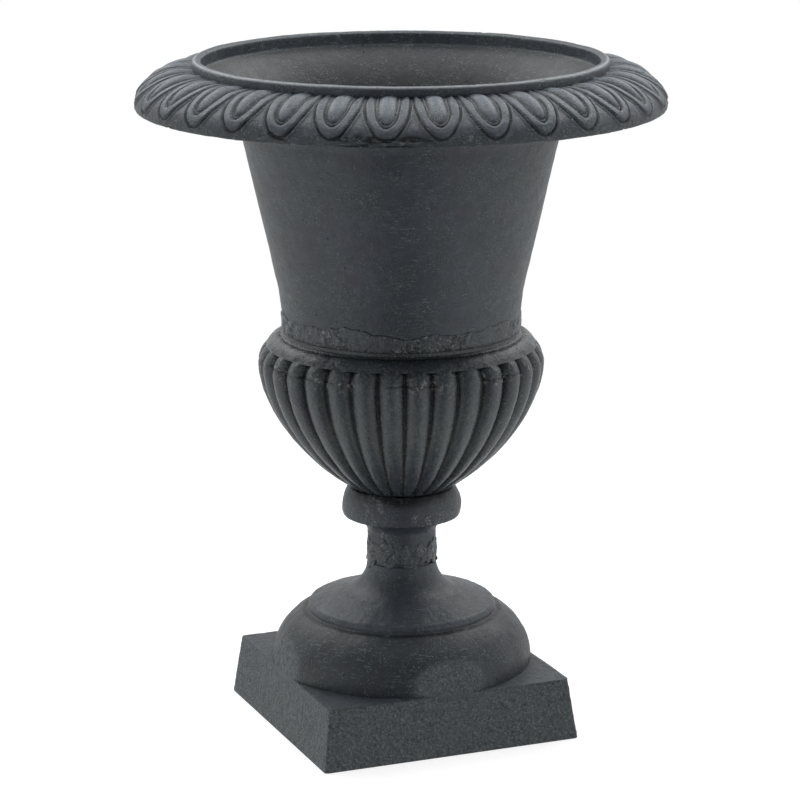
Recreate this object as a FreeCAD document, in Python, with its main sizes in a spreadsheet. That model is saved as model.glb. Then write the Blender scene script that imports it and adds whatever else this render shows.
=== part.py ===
import FreeCAD, Part
import math
import os
import Sketcher

# Cast-iron urn planter: a bell with a rolled, egg-ornamented rim stands on a gadrooned bowl with a knop,
# and the bowl stands on a moulded foot with a square, drafted plinth. The three castings are hollow. Bell and
# bowl are bolted through flanges inside the waist, a rod through the neck ties bowl and foot together, and
# both joints are pointed up with cement. Millimetres, +Z up, origin on the floor under the axis.

Vector = FreeCAD.Vector
UP = Vector(0, 0, 1)

doc = FreeCAD.newDocument("urn_planter")

# ----------------------------------------------------------------------------------------------------------
# Driving dimensions
# ----------------------------------------------------------------------------------------------------------

SIZES = [
    # foot
    ("plinth_half", 102.1, "half width of the square plinth on the floor"),
    ("plinth_top_half", 96.1, "half width of the plinth at its top, less by the moulding draft"),
    ("plinth_height", 46.0, "height of the plinth"),
    ("plinth_corner", 2.5, "rounding of the plinth's four upright corners"),
    ("cushion_radius", 98.0, "radius of the round cushion where it stands on the plinth"),
    ("cushion_top_radius", 73.0, "radius of the cushion's top edge"),
    ("cushion_height", 40.4, "height of the cushion"),
    ("cushion_bulge", 0.155, "rise of the cushion's arc over its chord, as a share of the chord"),
    ("disc_radius", 70.6, "radius of the disc's lower edge"),
    ("disc_top_radius", 67.5, "radius of the disc's upper edge"),
    ("disc_height", 6.9, "height of the disc's rounded edge"),
    ("disc_bulge", 0.24, "rise of the disc's edge over its chord, as a share"),
    ("cove_foot_radius", 46.0, "radius where the disc's slope turns into the cove"),
    ("slope_height", 7.1, "height of the disc's straight slope"),
    ("cove_height", 23.6, "height of the cove that runs up into the neck"),
    ("cove_bulge", 0.174, "depth of the cove's arc under its chord, as a share"),
    ("foot_wall", 7.0, "wall of the foot casting"),
    ("foot_core_radius", 84.0, "radius of the foot's hollow half way up the cushion"),
    ("foot_core_rise", 23.0, "height of the hollow's lower slope"),
    ("foot_bore", 18.0, "radius of the foot's bore through the neck"),
    # neck
    ("neck_radius", 26.0, "radius of the neck"),
    ("neck_height", 18.0, "height of the bowl's half of the neck"),
    ("cement_height", 14.0, "height of the cement collar round the neck joint"),
    ("cement_recess", 1.8, "depth of the recess that holds the cement"),
    ("cement_proud", 0.7, "how far the neck's cement bulges over the recess"),
    ("cement_gap", 0.3, "clearance between cement and iron inside the recess"),
    ("spigot_length", 10.0, "length of the bowl's spigot that centres it in the foot"),
    ("spigot_gap", 0.3, "radial clearance of the spigot in the foot's bore"),
    ("neck_bore", 12.0, "radius of the bore through the bowl's neck"),
    # knop
    ("knop_under_radius", 43.9, "radius of the knop's sharp lower edge"),
    ("knop_top_radius", 39.4, "radius where the knop meets the lobes"),
    ("knop_cove_height", 11.0, "height of the cove under the knop"),
    ("knop_cove_bulge", 0.16, "depth of that cove's arc over its chord, as a share"),
    ("knop_height", 22.5, "height of the knop's rounded side"),
    ("knop_bulge", 0.125, "rise of the knop's side over its chord, as a share"),
    # gadrooned bowl
    ("lobe_count", 32, "number of lobes round the bowl"),
    ("lobe_turn", -3.8, "angle of the first lobe's crest"),
    ("belly_radius", 107.35, "radius over the lobes' crests at the widest height"),
    ("belly_rise", 96.5, "height from the knop to the widest height"),
    ("belly_depth", 112.0, "depth at which the crest's curve would reach the axis"),
    ("belly_fullness", 1.75, "exponent on the depth in the crest's curve"),
    ("belly_squareness", 1.45, "exponent on the radius in the crest's curve"),
    ("lobe_head_rise", 12.5, "height from the widest point to the shoulder's lower edge"),
    ("lobe_head_radius", 101.0, "crest radius under the shoulder's lower edge"),
    ("head_bend_rise", 0.6, "height at which the heads turn in, as a share of their rise"),
    ("head_bend_inset", 0.36, "how far they have turned in there, as a share of the whole"),
    ("lobe_relief", 0.25, "depth of the valleys, as a share of a lobe's width"),
    ("shoulder_height", 8.8, "height of the smooth shoulder over the lobes"),
    ("shoulder_radius", 89.4, "radius of the shoulder's upper edge"),
    ("shoulder_bulge", 0.13, "rise of the shoulder's arc over its chord, as a share"),
    ("fascia_height", 3.2, "height of the plain band over the shoulder"),
    ("bowl_wall", 7.0, "wall of the bowl behind the valleys"),
    ("floor_thickness", 8.0, "thickness of the bowl's floor"),
    ("knop_hollow_radius", 30.0, "radius of the hollow inside the knop"),
    ("knop_hollow_foot", 4.0, "height from the neck's top to the hollow's narrow end"),
    ("knop_hollow_side", 12.0, "height of the hollow's upright side"),
    ("drain_radius", 5.0, "radius of the drain holes"),
    ("drain_circle", 22.0, "radius of the circle that the drain holes lie on"),
    ("drain_count", 3, "number of drain holes"),
    # waist joint
    ("waist_radius", 88.2, "radius of the waist at the joint"),
    ("waist_recess", 3.7, "depth of the recess for the waist's cement"),
    ("waist_cement_below", 4.5, "height of the cement's recess in the bowl"),
    ("waist_cement_above", 5.0, "height of the cement's recess in the bell"),
    ("waist_cement_proud", 0.5, "how far the waist's cement bulges over the recess"),
    ("flange_thickness", 8.0, "thickness of each inner flange"),
    ("flange_bore", 63.5, "radius of the opening inside the flanges"),
    # bell
    ("waist_band_height", 20.0, "height of the bell's steep foot over the cement"),
    ("waist_band_radius", 90.6, "radius at the top of that foot"),
    ("cone_height", 119.0, "height of the bell's straight cone"),
    ("cone_radius", 117.3, "radius at the top of the cone"),
    ("bell_wall", 6.7, "wall of the bell"),
    ("flare_height", 35.0, "height of the flare up to the rim's underside"),
    ("flare_radius", 147.0, "radius where the flare meets the rim's underside"),
    ("flare_bulge", 0.08, "depth of the flare's arc under its chord, as a share"),
    ("rim_radius", 195.0, "largest radius of the rolled rim"),
    ("rim_edge_drop", 1.3, "height of the rim's turned-under edge"),
    ("rim_edge_tuck", 1.4, "how far the rim's lower edge turns in under its largest radius"),
    ("rim_edge_width", 5.2, "width of the rim's lower edge"),
    ("rim_low", 18.0, "height from the top of the cone to the rim's largest radius"),
    ("rim_nose_tuck", 7.15, "distance in from the largest radius to where the rim's two arcs meet"),
    ("rim_nose_height", 15.3, "height of the rim's tight arc"),
    ("rim_nose_bulge", 0.1108, "rise of the tight arc over its chord, as a share"),
    ("rim_back_height", 12.7, "height of the rim's wide arc"),
    ("rim_back_bulge", 0.0882, "rise of the wide arc over its chord, as a share"),
    ("rim_wall", 6.5, "wall of the rolled rim"),
    ("rim_hollow_drop", 1.0, "extra depth of the wall in the middle of the wide arc"),
    ("rim_hollow_tuck", 1.3, "drop of the hollow's outer corner under the place where the two arcs meet"),
    ("lip_radius", 153.0, "outer radius of the lip"),
    ("lip_width", 8.0, "width of the lip"),
    ("lip_height", 5.2, "height of the lip's upright side over the rim"),
    ("lip_crown", 0.275, "rise of the lip's rounded top over its width, as a share"),
    ("lip_depth", 9.2, "depth of the upright band inside the lip"),
    ("throat_bulge", 0.094, "rise of the throat's arc over its chord, as a share"),
    # egg ornament
    ("egg_count", 32, "number of eggs round the rim"),
    ("egg_turn", -2.6, "angle of the first egg"),
    ("egg_width", 13.0, "width of an egg where it meets the rim"),
    ("egg_straight", 20.0, "length of an egg's straight sides, from the lip down the rim"),
    ("egg_taper", 19.4, "length of its rounded end"),
    ("egg_fullness", 2.4, "exponent of that end's outline: 2 is an ellipse, and more is fuller"),
    ("egg_crown", 2.8, "height of an egg's middle over the rim"),
    ("band_gap", 2.2, "width of the groove between an egg and the band that loops under it"),
    ("band_width", 5.0, "width of the band"),
    ("band_height", 1.4, "height of the band over the rim"),
    ("band_loop", 0.42, "depth of the band's loop, as a share of its width"),
    ("carving_sink", 1.5, "depth of the eggs' and the bands' backs under the rim's surface"),
    # fasteners
    ("bolt_count", 4, "number of flange bolts"),
    ("bolt_circle", 72.8, "radius of the circle that the flange bolts lie on"),
    ("bolt_turn", 45.0, "angle of the first flange bolt"),
    ("bolt_radius", 4.0, "radius of a flange bolt"),
    ("bolt_hole_gap", 0.5, "radial clearance of a flange bolt in its holes"),
    ("bolt_head_flats", 13.0, "width across the flats of bolt heads and nuts"),
    ("bolt_head_height", 5.5, "height of a bolt's head"),
    ("bolt_nut_height", 6.5, "height of a bolt's nut"),
    ("bolt_tail", 3.0, "length of bolt past its nut"),
    ("bolt_washer_radius", 8.0, "radius of a bolt's washer"),
    ("bolt_washer_thickness", 1.6, "thickness of a bolt's washer"),
    ("rod_radius", 6.0, "radius of the tie rod"),
    ("rod_hole_gap", 0.75, "radial clearance of the tie rod in floor, bar and washers"),
    ("rod_tail", 5.0, "length of rod past each nut"),
    ("rod_nut_flats", 19.0, "width across the flats of the tie rod's nuts"),
    ("rod_nut_height", 10.0, "height of the tie rod's nuts"),
    ("rod_washer_radius", 14.0, "radius of the tie rod's washers"),
    ("rod_washer_thickness", 2.5, "thickness of the tie rod's washers"),
    ("thread_gap", 0.15, "radial clearance of a nut on its thread"),
    ("bar_length", 76.0, "length of the clamp bar under the foot's bore"),
    ("bar_width", 28.0, "width of the clamp bar"),
    ("bar_thickness", 8.0, "thickness of the clamp bar"),
]

sizes = doc.addObject("Spreadsheet::Sheet", "sizes")
for row, (alias, value, meaning) in enumerate(SIZES, start=1):
    sizes.set(f"A{row}", alias)
    sizes.set(f"B{row}", str(value))
    sizes.set(f"C{row}", meaning)
    sizes.setAlias(f"B{row}", alias)
doc.recompute()

# Heights and radii that follow from the driving dimensions, each stacked on the one beneath it.
LEVELS = [
    ("cushion_top", "sizes.plinth_height + sizes.cushion_height"),
    ("disc_top", "levels.cushion_top + sizes.disc_height"),
    ("cove_foot", "levels.disc_top + sizes.slope_height"),
    ("cement_low", "levels.cove_foot + sizes.cove_height"),
    ("neck_joint", "levels.cement_low + sizes.cement_height / 2"),
    ("cement_high", "levels.cement_low + sizes.cement_height"),
    ("knop_low", "levels.neck_joint + sizes.neck_height"),
    ("knop_edge", "levels.knop_low + sizes.knop_cove_height"),
    ("knop_top", "levels.knop_edge + sizes.knop_height"),
    ("belly", "levels.knop_top + sizes.belly_rise"),
    ("lobe_head", "levels.belly + sizes.lobe_head_rise"),
    ("lobe_end", "levels.lobe_head + sizes.shoulder_height / 3"),
    ("lobe_end_radius", "sizes.lobe_head_radius - sizes.shoulder_height / 2"),
    ("shoulder_top", "levels.lobe_head + sizes.shoulder_height"),
    ("waist_low", "levels.shoulder_top + sizes.fascia_height"),
    ("waist_joint", "levels.waist_low + sizes.waist_cement_below"),
    ("waist_high", "levels.waist_joint + sizes.waist_cement_above"),
    ("cone_low", "levels.waist_high + sizes.waist_band_height"),
    ("cone_high", "levels.cone_low + sizes.cone_height"),
    ("flare_top", "levels.cone_high + sizes.flare_height"),
    ("rim_widest", "levels.cone_high + sizes.rim_low"),
    ("rim_nose", "levels.rim_widest + sizes.rim_nose_height"),
    ("rim_top", "levels.rim_nose + sizes.rim_back_height"),
    ("lip_top", "levels.rim_top + sizes.lip_height"),
    ("rim_edge_radius", "sizes.rim_radius - sizes.rim_edge_tuck"),
    ("rim_nose_radius", "sizes.rim_radius - sizes.rim_nose_tuck"),
    ("rim_back_chord", "sqrt((levels.rim_nose_radius - sizes.lip_radius) ^ 2 + sizes.rim_back_height ^ 2)"),
    ("rim_back_length", "levels.rim_back_chord * (1 + 8 / 3 * sizes.rim_back_bulge ^ 2)"),
    ("band_inside", "sizes.egg_width / 2 + sizes.band_gap"),
    ("band_outside", "levels.band_inside + sizes.band_width"),
    ("band_inside_low", "levels.rim_back_length - sizes.egg_straight - sizes.egg_taper - sizes.band_gap"),
    ("band_outside_low", "levels.band_inside_low - sizes.band_width"),
    ("recess_radius", "sizes.neck_radius - sizes.cement_recess"),
    ("waist_recess_radius", "sizes.waist_radius - sizes.waist_recess"),
    ("ceiling", "levels.cushion_top - sizes.foot_wall"),
    ("floor", "levels.knop_top + sizes.floor_thickness"),
    ("draft", "(sizes.plinth_half - sizes.plinth_top_half) / sizes.plinth_height"),
]

levels = doc.addObject("App::VarSet", "levels")
for name, formula in LEVELS:
    levels.addProperty("App::PropertyFloat", name)
    levels.setExpression(name, formula)
    doc.recompute()


def value(formula):
    """The number that a formula of sizes and levels gives."""
    return float(sizes.evalExpression(str(formula)))


# ----------------------------------------------------------------------------------------------------------
# Helpers
# ----------------------------------------------------------------------------------------------------------

SECTION_PLACE = FreeCAD.Placement(Vector(0, 0, 0), FreeCAD.Rotation(Vector(1, 0, 0), 90))


def chord_arc(start, end, bulge):
    """The arc over a chord whose rise is the bulge's share of it, to the right of the way it runs."""
    chord = end - start
    sideways = Vector(chord.y, -chord.x, 0)
    return Part.Arc(start, (start + end) / 2 + sideways * bulge, end)


def draw_outline(sketch, corners):
    """Close a sketch through corners of radius, height and, for an arc to the next corner, its bulge.

    The corners run anticlockwise, so a positive bulge swells out of the solid and a negative one hollows it.
    Every corner is held by its distance from the origin, and every arc by its radius.
    """
    points = [Vector(value(corner[0]), value(corner[1]), 0) for corner in corners]
    starts = []
    ends = []
    for index, corner in enumerate(corners):
        here = points[index]
        there = points[(index + 1) % len(points)]
        bulge = value(corner[2]) if len(corner) > 2 else 0
        if bulge:
            sketch.addGeometry(chord_arc(here, there, bulge), False)
        else:
            sketch.addGeometry(Part.LineSegment(here, there), False)
        forwards = bulge >= 0
        starts.append(1 if forwards else 2)
        ends.append(2 if forwards else 1)
    for index, corner in enumerate(corners):
        following = (index + 1) % len(corners)
        sketch.addConstraint(Sketcher.Constraint("Coincident", index, ends[index], following, starts[following]))
        for kind, formula in (("DistanceX", corner[0]), ("DistanceY", corner[1])):
            if abs(value(formula)) < 1e-9:
                axis = -2 if kind == "DistanceX" else -1
                sketch.addConstraint(Sketcher.Constraint("PointOnObject", index, starts[index], axis))
                continue
            number = sketch.addConstraint(
                Sketcher.Constraint(kind, -1, 1, index, starts[index], value(formula)))
            sketch.setExpression(f"Constraints[{number}]", str(formula))
    for index, corner in enumerate(corners):
        if len(corner) < 3:
            continue
        following = corners[(index + 1) % len(corners)]
        chord = f"sqrt((({following[0]}) - ({corner[0]})) ^ 2 + (({following[1]}) - ({corner[1]})) ^ 2)"
        radius = f"{chord} * (1 + 4 * ({corner[2]}) ^ 2) / (8 * abs({corner[2]}))"
        number = sketch.addConstraint(Sketcher.Constraint("Radius", index, value(radius)))
        sketch.setExpression(f"Constraints[{number}]", radius)


def origin_plane(body, role):
    """One of a body's own origin planes."""
    return next(item for item in body.Origin.OriginFeatures if item.Role == role)


def turned_body(name, corners):
    """A body turned about the upright axis from a closed outline."""
    body = doc.addObject("PartDesign::Body", name)
    sketch = body.newObject("Sketcher::SketchObject", name + "_outline")
    sketch.AttachmentSupport = (origin_plane(body, "XZ_Plane"), [""])
    sketch.MapMode = "FlatFace"
    draw_outline(sketch, corners)
    turned = body.newObject("PartDesign::Revolution", name + "_turned")
    turned.Profile = sketch
    turned.ReferenceAxis = (sketch, ["V_Axis"])
    turned.Angle = 360
    sketch.Visibility = False
    doc.recompute()
    return body


def drafted_block(name, half_low, half_high, height):
    """A square block on the floor whose sides lean in evenly."""
    block = doc.addObject("Part::Wedge", name)
    block.Placement = SECTION_PLACE
    for side in ("X", "Z"):
        block.setExpression(side + "min", f"-({half_low})")
        block.setExpression(side + "max", half_low)
        block.setExpression(side + "2min", f"-({half_high})")
        block.setExpression(side + "2max", half_high)
    block.setExpression("Ymin", "0")
    block.setExpression("Ymax", height)
    doc.recompute()
    return block


def place(item, radius="0", angle="0", low="0"):
    """Set an item out at a radius and an angle from the axis, with its foot at a height."""
    item.setExpression("Placement.Base.x", f"({radius}) * cos({angle})")
    item.setExpression("Placement.Base.y", f"({radius}) * sin({angle})")
    item.setExpression("Placement.Base.z", str(low))
    return item


def cylinder(name, radius, low, high, circle="0", angle="0"):
    """An upright cylinder between two heights."""
    item = doc.addObject("Part::Cylinder", name)
    item.setExpression("Radius", radius)
    item.setExpression("Height", f"({high}) - ({low})")
    return place(item, circle, angle, low)


def hexagon(name, flats, low, high, circle="0", angle="0"):
    """An upright six-sided prism between two heights."""
    item = doc.addObject("Part::Prism", name)
    item.Polygon = 6
    item.setExpression("Circumradius", f"({flats}) / sqrt(3)")
    item.setExpression("Height", f"({high}) - ({low})")
    return place(item, circle, angle, low)


def joined(name, items):
    """Several shapes fused into one."""
    fused = doc.addObject("Part::MultiFuse", name)
    fused.Shapes = items
    fused.Refine = True
    return fused


def cut(name, base, tool):
    """A shape with another taken out of it."""
    result = doc.addObject("Part::Cut", name)
    result.Base = base
    result.Tool = tool
    return result


def group(name, items):
    """Separate solids that share one name."""
    result = doc.addObject("Part::Compound", name)
    result.Links = items
    return result


def around(count, turn="0"):
    """The index and the angle, as a formula, of each of a number of places spaced evenly round the axis."""
    total = round(value(count))
    return [(index, f"{turn} + {index} * 360 / {count}") for index in range(total)]


def washer(name, bore, radius, low, thickness):
    """A flat ring about the axis."""
    high = f"{low} + {thickness}"
    return turned_body(name, [(bore, low), (radius, low), (radius, high), (bore, high)])


# ----------------------------------------------------------------------------------------------------------
# Foot: a turned cushion, disc and cove, trimmed by the plinth's own drafted sides and fused to the plinth
# ----------------------------------------------------------------------------------------------------------

def pedestal_foot():
    """The plinth's sides, carried on upwards, slice a low mound off the cushion in the middle of each side."""
    moulding = turned_body("foot_moulding", [
        ("0", "sizes.plinth_height"),
        ("sizes.cushion_radius", "sizes.plinth_height", "sizes.cushion_bulge"),
        ("sizes.cushion_top_radius", "levels.cushion_top"),
        ("sizes.disc_radius", "levels.cushion_top", "sizes.disc_bulge"),
        ("sizes.disc_top_radius", "levels.disc_top"),
        ("sizes.cove_foot_radius", "levels.cove_foot", "-sizes.cove_bulge"),
        ("sizes.neck_radius", "levels.cement_low"),
        ("levels.recess_radius", "levels.cement_low"),
        ("levels.recess_radius", "levels.neck_joint"),
        ("0", "levels.neck_joint"),
    ])
    trim = drafted_block("foot_trim", "sizes.plinth_half",
                         "sizes.plinth_half - levels.draft * levels.neck_joint", "levels.neck_joint")
    trimmed = doc.addObject("Part::MultiCommon", "foot_trimmed")
    trimmed.Shapes = [moulding, trim]
    plinth = drafted_block("plinth", "sizes.plinth_half", "sizes.plinth_top_half", "sizes.plinth_height")
    rounded = doc.addObject("Part::Fillet", "plinth_rounded")
    rounded.Base = plinth
    corner = value("sizes.plinth_corner")
    upright = [number for number, edge in enumerate(plinth.Shape.Edges, start=1)
               if abs(edge.Vertexes[0].Z - edge.Vertexes[-1].Z) > 1]
    rounded.Edges = [(number, corner, corner) for number in upright]
    solid = joined("foot_solid", [rounded, trimmed])

    hollow = turned_body("foot_hollow", [
        ("0", "sizes.plinth_height - sizes.foot_wall"),
        ("sizes.plinth_top_half - sizes.foot_wall", "sizes.plinth_height - sizes.foot_wall"),
        ("sizes.foot_core_radius", "sizes.plinth_height - sizes.foot_wall + sizes.foot_core_rise"),
        ("sizes.cushion_top_radius - sizes.foot_wall", "levels.ceiling"),
        ("sizes.foot_bore", "levels.ceiling"),
        ("sizes.foot_bore", "levels.neck_joint"),
        ("0", "levels.neck_joint"),
    ])
    well = drafted_block("plinth_well", "sizes.plinth_half - sizes.foot_wall",
                         "sizes.plinth_half - sizes.foot_wall"
                         " - levels.draft * (sizes.plinth_height - sizes.foot_wall)",
                         "sizes.plinth_height - sizes.foot_wall")
    return cut("pedestal_foot", solid, joined("foot_cavity", [well, hollow]))


# ----------------------------------------------------------------------------------------------------------
# Bowl: convex lobes lofted through scalloped sections, between a turned knop and a turned shoulder
# ----------------------------------------------------------------------------------------------------------

def crest_radius(height):
    """The lobes' crest below the widest point: (r / belly)^p + (depth / deepest)^q = 1, as a formula."""
    depth = f"(levels.belly - ({height})) / sizes.belly_depth"
    return f"sizes.belly_radius * (1 - ({depth}) ^ sizes.belly_fullness) ^ (1 / sizes.belly_squareness)"


VALLEY_SHARE = "(1 - sizes.lobe_relief * 2 * pi / sizes.lobe_count)"


def scalloped_ring(name, height, crest):
    """A closed ring of arcs at one height, each from valley to valley over the crest of its lobe."""
    count = round(value("sizes.lobe_count"))
    crest_size = value(crest)
    valley_size = value(f"({crest}) * {VALLEY_SHARE}")
    level = value(height)

    def point(radius, step):
        angle = math.radians(value("sizes.lobe_turn") + step * 360 / count)
        return Vector(radius * math.cos(angle), radius * math.sin(angle), level)

    arcs = [Part.Arc(point(valley_size, step - 0.5), point(crest_size, step), point(valley_size, step + 0.5))
            for step in range(count)]
    ring = doc.addObject("Part::Feature", name)
    ring.Shape = Part.Wire([arc.toShape() for arc in arcs])
    return ring


# Depths under the widest point, as shares of the belly's rise, close enough to follow the crest's curve.
WALL_DEPTHS = (1.0, 0.87, 0.71, 0.52, 0.33, 0.15, 0.0)
HOLLOW_DEPTHS = (0.74, 0.5, 0.24)


def lobed_wall():
    """The gadroons: straight-ruled strips between sections, whose last one is hidden inside the shoulder."""
    sections = []
    for share in WALL_DEPTHS:
        height = f"levels.belly - {share} * sizes.belly_rise"
        sections.append((height, crest_radius(height)))
    sections.append(("levels.belly + sizes.head_bend_rise * sizes.lobe_head_rise",
                     "sizes.belly_radius - sizes.head_bend_inset * (sizes.belly_radius - sizes.lobe_head_radius)"))
    sections.append(("levels.lobe_head", "sizes.lobe_head_radius"))
    sections.append(("levels.lobe_end", "levels.lobe_end_radius"))
    rings = [scalloped_ring(f"lobe_section_{number}", height, crest)
             for number, (height, crest) in enumerate(sections, start=1)]
    loft = doc.addObject("Part::Loft", "lobed_wall")
    loft.Sections = rings
    loft.Solid = True
    loft.Ruled = True
    return loft


def inside_radius(height):
    """The bowl's inner wall: the valleys' curve, moved in by the wall and up by half of it."""
    return f"{crest_radius(f'({height}) - sizes.bowl_wall / 2')} * {VALLEY_SHARE} - sizes.bowl_wall"


def gadroon_bowl():
    """The bowl casting, from the spigot in the foot to the flange under the bell."""
    knop = turned_body("knop", [
        ("0", "levels.neck_joint - sizes.spigot_length"),
        ("sizes.foot_bore - sizes.spigot_gap", "levels.neck_joint - sizes.spigot_length"),
        ("sizes.foot_bore - sizes.spigot_gap", "levels.neck_joint"),
        ("levels.recess_radius", "levels.neck_joint"),
        ("levels.recess_radius", "levels.cement_high"),
        ("sizes.neck_radius", "levels.cement_high"),
        ("sizes.neck_radius", "levels.knop_low", "-sizes.knop_cove_bulge"),
        ("sizes.knop_under_radius", "levels.knop_edge", "sizes.knop_bulge"),
        ("sizes.knop_top_radius", "levels.knop_top"),
        ("0", "levels.knop_top"),
    ])
    shoulder = turned_body("shoulder", [
        ("0", "levels.lobe_head"),
        ("sizes.lobe_head_radius", "levels.lobe_head", "sizes.shoulder_bulge"),
        ("sizes.shoulder_radius", "levels.shoulder_top"),
        ("sizes.waist_radius", "levels.shoulder_top"),
        ("sizes.waist_radius", "levels.waist_low"),
        ("levels.waist_recess_radius", "levels.waist_low"),
        ("levels.waist_recess_radius", "levels.waist_joint"),
        ("0", "levels.waist_joint"),
    ])
    flange_low = "levels.waist_joint - sizes.flange_thickness"
    wall = [f"levels.belly - {share} * sizes.belly_rise" for share in HOLLOW_DEPTHS]
    hollow = turned_body("bowl_hollow", [
        ("0", "levels.floor"),
        (inside_radius("levels.floor"), "levels.floor"),
        *[(inside_radius(height), height) for height in wall],
        (f"sizes.belly_radius * {VALLEY_SHARE} - sizes.bowl_wall", "levels.belly + sizes.bowl_wall / 2"),
        ("sizes.waist_radius - sizes.bell_wall", flange_low),
        ("sizes.flange_bore", flange_low),
        ("sizes.flange_bore", "levels.waist_joint"),
        ("0", "levels.waist_joint"),
    ])
    knop_hollow = turned_body("knop_hollow", [
        ("0", "levels.neck_joint - sizes.spigot_length"),
        ("sizes.neck_bore", "levels.neck_joint - sizes.spigot_length"),
        ("sizes.neck_bore", "levels.knop_low + sizes.knop_hollow_foot"),
        ("sizes.knop_hollow_radius", "levels.knop_top - sizes.knop_hollow_side"),
        ("sizes.knop_hollow_radius", "levels.knop_top"),
        ("0", "levels.knop_top"),
    ])
    openings = [hollow, knop_hollow]
    openings.append(cylinder("rod_hole", "sizes.rod_radius + sizes.rod_hole_gap", "levels.knop_top",
                             "levels.floor"))
    for index, angle in around("sizes.drain_count"):
        openings.append(cylinder(f"drain_{index + 1}", "sizes.drain_radius", "levels.knop_top",
                                 "levels.floor", "sizes.drain_circle", angle))
    for index, angle in around("sizes.bolt_count", "sizes.bolt_turn"):
        openings.append(cylinder(f"bowl_bolt_hole_{index + 1}", "sizes.bolt_radius + sizes.bolt_hole_gap",
                                 flange_low, "levels.waist_joint", "sizes.bolt_circle", angle))
    solid = joined("bowl_solid", [knop, lobed_wall(), shoulder])
    return cut("gadroon_bowl", solid, joined("bowl_openings", openings))


# ----------------------------------------------------------------------------------------------------------
# Bell: a turned shell with a flange at its foot and a rolled, hollow rim, carved with eggs and bands
# ----------------------------------------------------------------------------------------------------------

def bell_casting():
    """The bell, its flange's bolt holes and the carving on its rim."""
    edge_low = "levels.rim_widest - sizes.rim_edge_drop"
    body = turned_body("bell_shell", [
        ("sizes.flange_bore", "levels.waist_joint"),
        ("levels.waist_recess_radius", "levels.waist_joint"),
        ("levels.waist_recess_radius", "levels.waist_high"),
        ("sizes.waist_radius", "levels.waist_high"),
        ("sizes.waist_band_radius", "levels.cone_low"),
        ("sizes.cone_radius", "levels.cone_high", "-sizes.flare_bulge"),
        ("sizes.flare_radius", "levels.flare_top"),
        ("(sizes.lip_radius + levels.rim_nose_radius) / 2 - sizes.rim_wall",
         "levels.rim_top - sizes.rim_wall - sizes.rim_hollow_drop"),
        ("levels.rim_nose_radius - sizes.rim_wall", "levels.rim_nose - sizes.rim_hollow_tuck"),
        ("levels.rim_edge_radius - sizes.rim_edge_width", edge_low),
        ("levels.rim_edge_radius", edge_low),
        ("sizes.rim_radius", "levels.rim_widest", "sizes.rim_nose_bulge"),
        ("levels.rim_nose_radius", "levels.rim_nose", "sizes.rim_back_bulge"),
        ("sizes.lip_radius", "levels.rim_top"),
        ("sizes.lip_radius", "levels.lip_top", "sizes.lip_crown"),
        ("sizes.lip_radius - sizes.lip_width", "levels.lip_top"),
        ("sizes.lip_radius - sizes.lip_width", "levels.lip_top - sizes.lip_depth", "sizes.throat_bulge"),
        ("sizes.cone_radius - sizes.bell_wall", "levels.cone_high"),
        ("sizes.waist_band_radius - sizes.bell_wall", "levels.cone_low"),
        ("sizes.waist_radius - sizes.bell_wall", "levels.waist_joint + sizes.flange_thickness"),
        ("sizes.flange_bore", "levels.waist_joint + sizes.flange_thickness"),
    ])

    mark = body.newObject("Sketcher::SketchObject", "flange_hole_mark")
    mark.AttachmentSupport = (origin_plane(body, "XY_Plane"), [""])
    mark.MapMode = "FlatFace"
    mark.setExpression("AttachmentOffset.Base.z", "levels.waist_joint + sizes.flange_thickness")
    turn = math.radians(value("sizes.bolt_turn"))
    circle = value("sizes.bolt_circle")
    centre = Vector(circle * math.cos(turn), circle * math.sin(turn), 0)
    mark.addGeometry(Part.Circle(centre, UP, value("sizes.bolt_radius + sizes.bolt_hole_gap")), False)
    for kind, formula in (("DistanceX", "sizes.bolt_circle * cos(sizes.bolt_turn)"),
                          ("DistanceY", "sizes.bolt_circle * sin(sizes.bolt_turn)")):
        number = mark.addConstraint(Sketcher.Constraint(kind, -1, 1, 0, 3, value(formula)))
        mark.setExpression(f"Constraints[{number}]", formula)
    number = mark.addConstraint(Sketcher.Constraint("Radius", 0, value("sizes.bolt_radius + sizes.bolt_hole_gap")))
    mark.setExpression(f"Constraints[{number}]", "sizes.bolt_radius + sizes.bolt_hole_gap")
    hole = body.newObject("PartDesign::Pocket", "flange_hole")
    hole.Profile = mark
    hole.setExpression("Length", "sizes.flange_thickness")
    holes = body.newObject("PartDesign::PolarPattern", "flange_holes")
    holes.Originals = [hole]
    holes.Axis = (mark, ["N_Axis"])
    holes.Angle = 360
    holes.setExpression("Occurrences", "sizes.bolt_count")
    body.Tip = holes
    doc.recompute()

    return joined("bell_casting", [body] + ringed(egg()) + ringed(band()))


def on_rim(distance):
    """A point of the rim's wide arc at a distance from the lip, and the direction straight out of the rim."""
    half_turn = 2 * math.atan(2 * value("sizes.rim_back_bulge"))
    size = value("levels.rim_back_chord") / (2 * math.sin(half_turn))
    run = value("levels.rim_nose_radius - sizes.lip_radius")
    first = math.atan2(value("sizes.rim_back_height"), run) - half_turn
    turn = first + distance / size
    lip = Vector(value("sizes.lip_radius"), 0, value("levels.rim_top"))
    outwards = Vector(math.sin(turn), 0, math.cos(turn))
    centre = lip - Vector(math.sin(first), 0, math.cos(first)) * size
    return centre + outwards * size, outwards


# Places down an egg's straight sides and down its rounded end, as shares of their lengths. The first is
# inside the lip.
STRAIGHT_SHARES = (-0.1, 0.45, 1.0)
TAPER_SHARES = (0.5, 0.85, 0.985)


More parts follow.
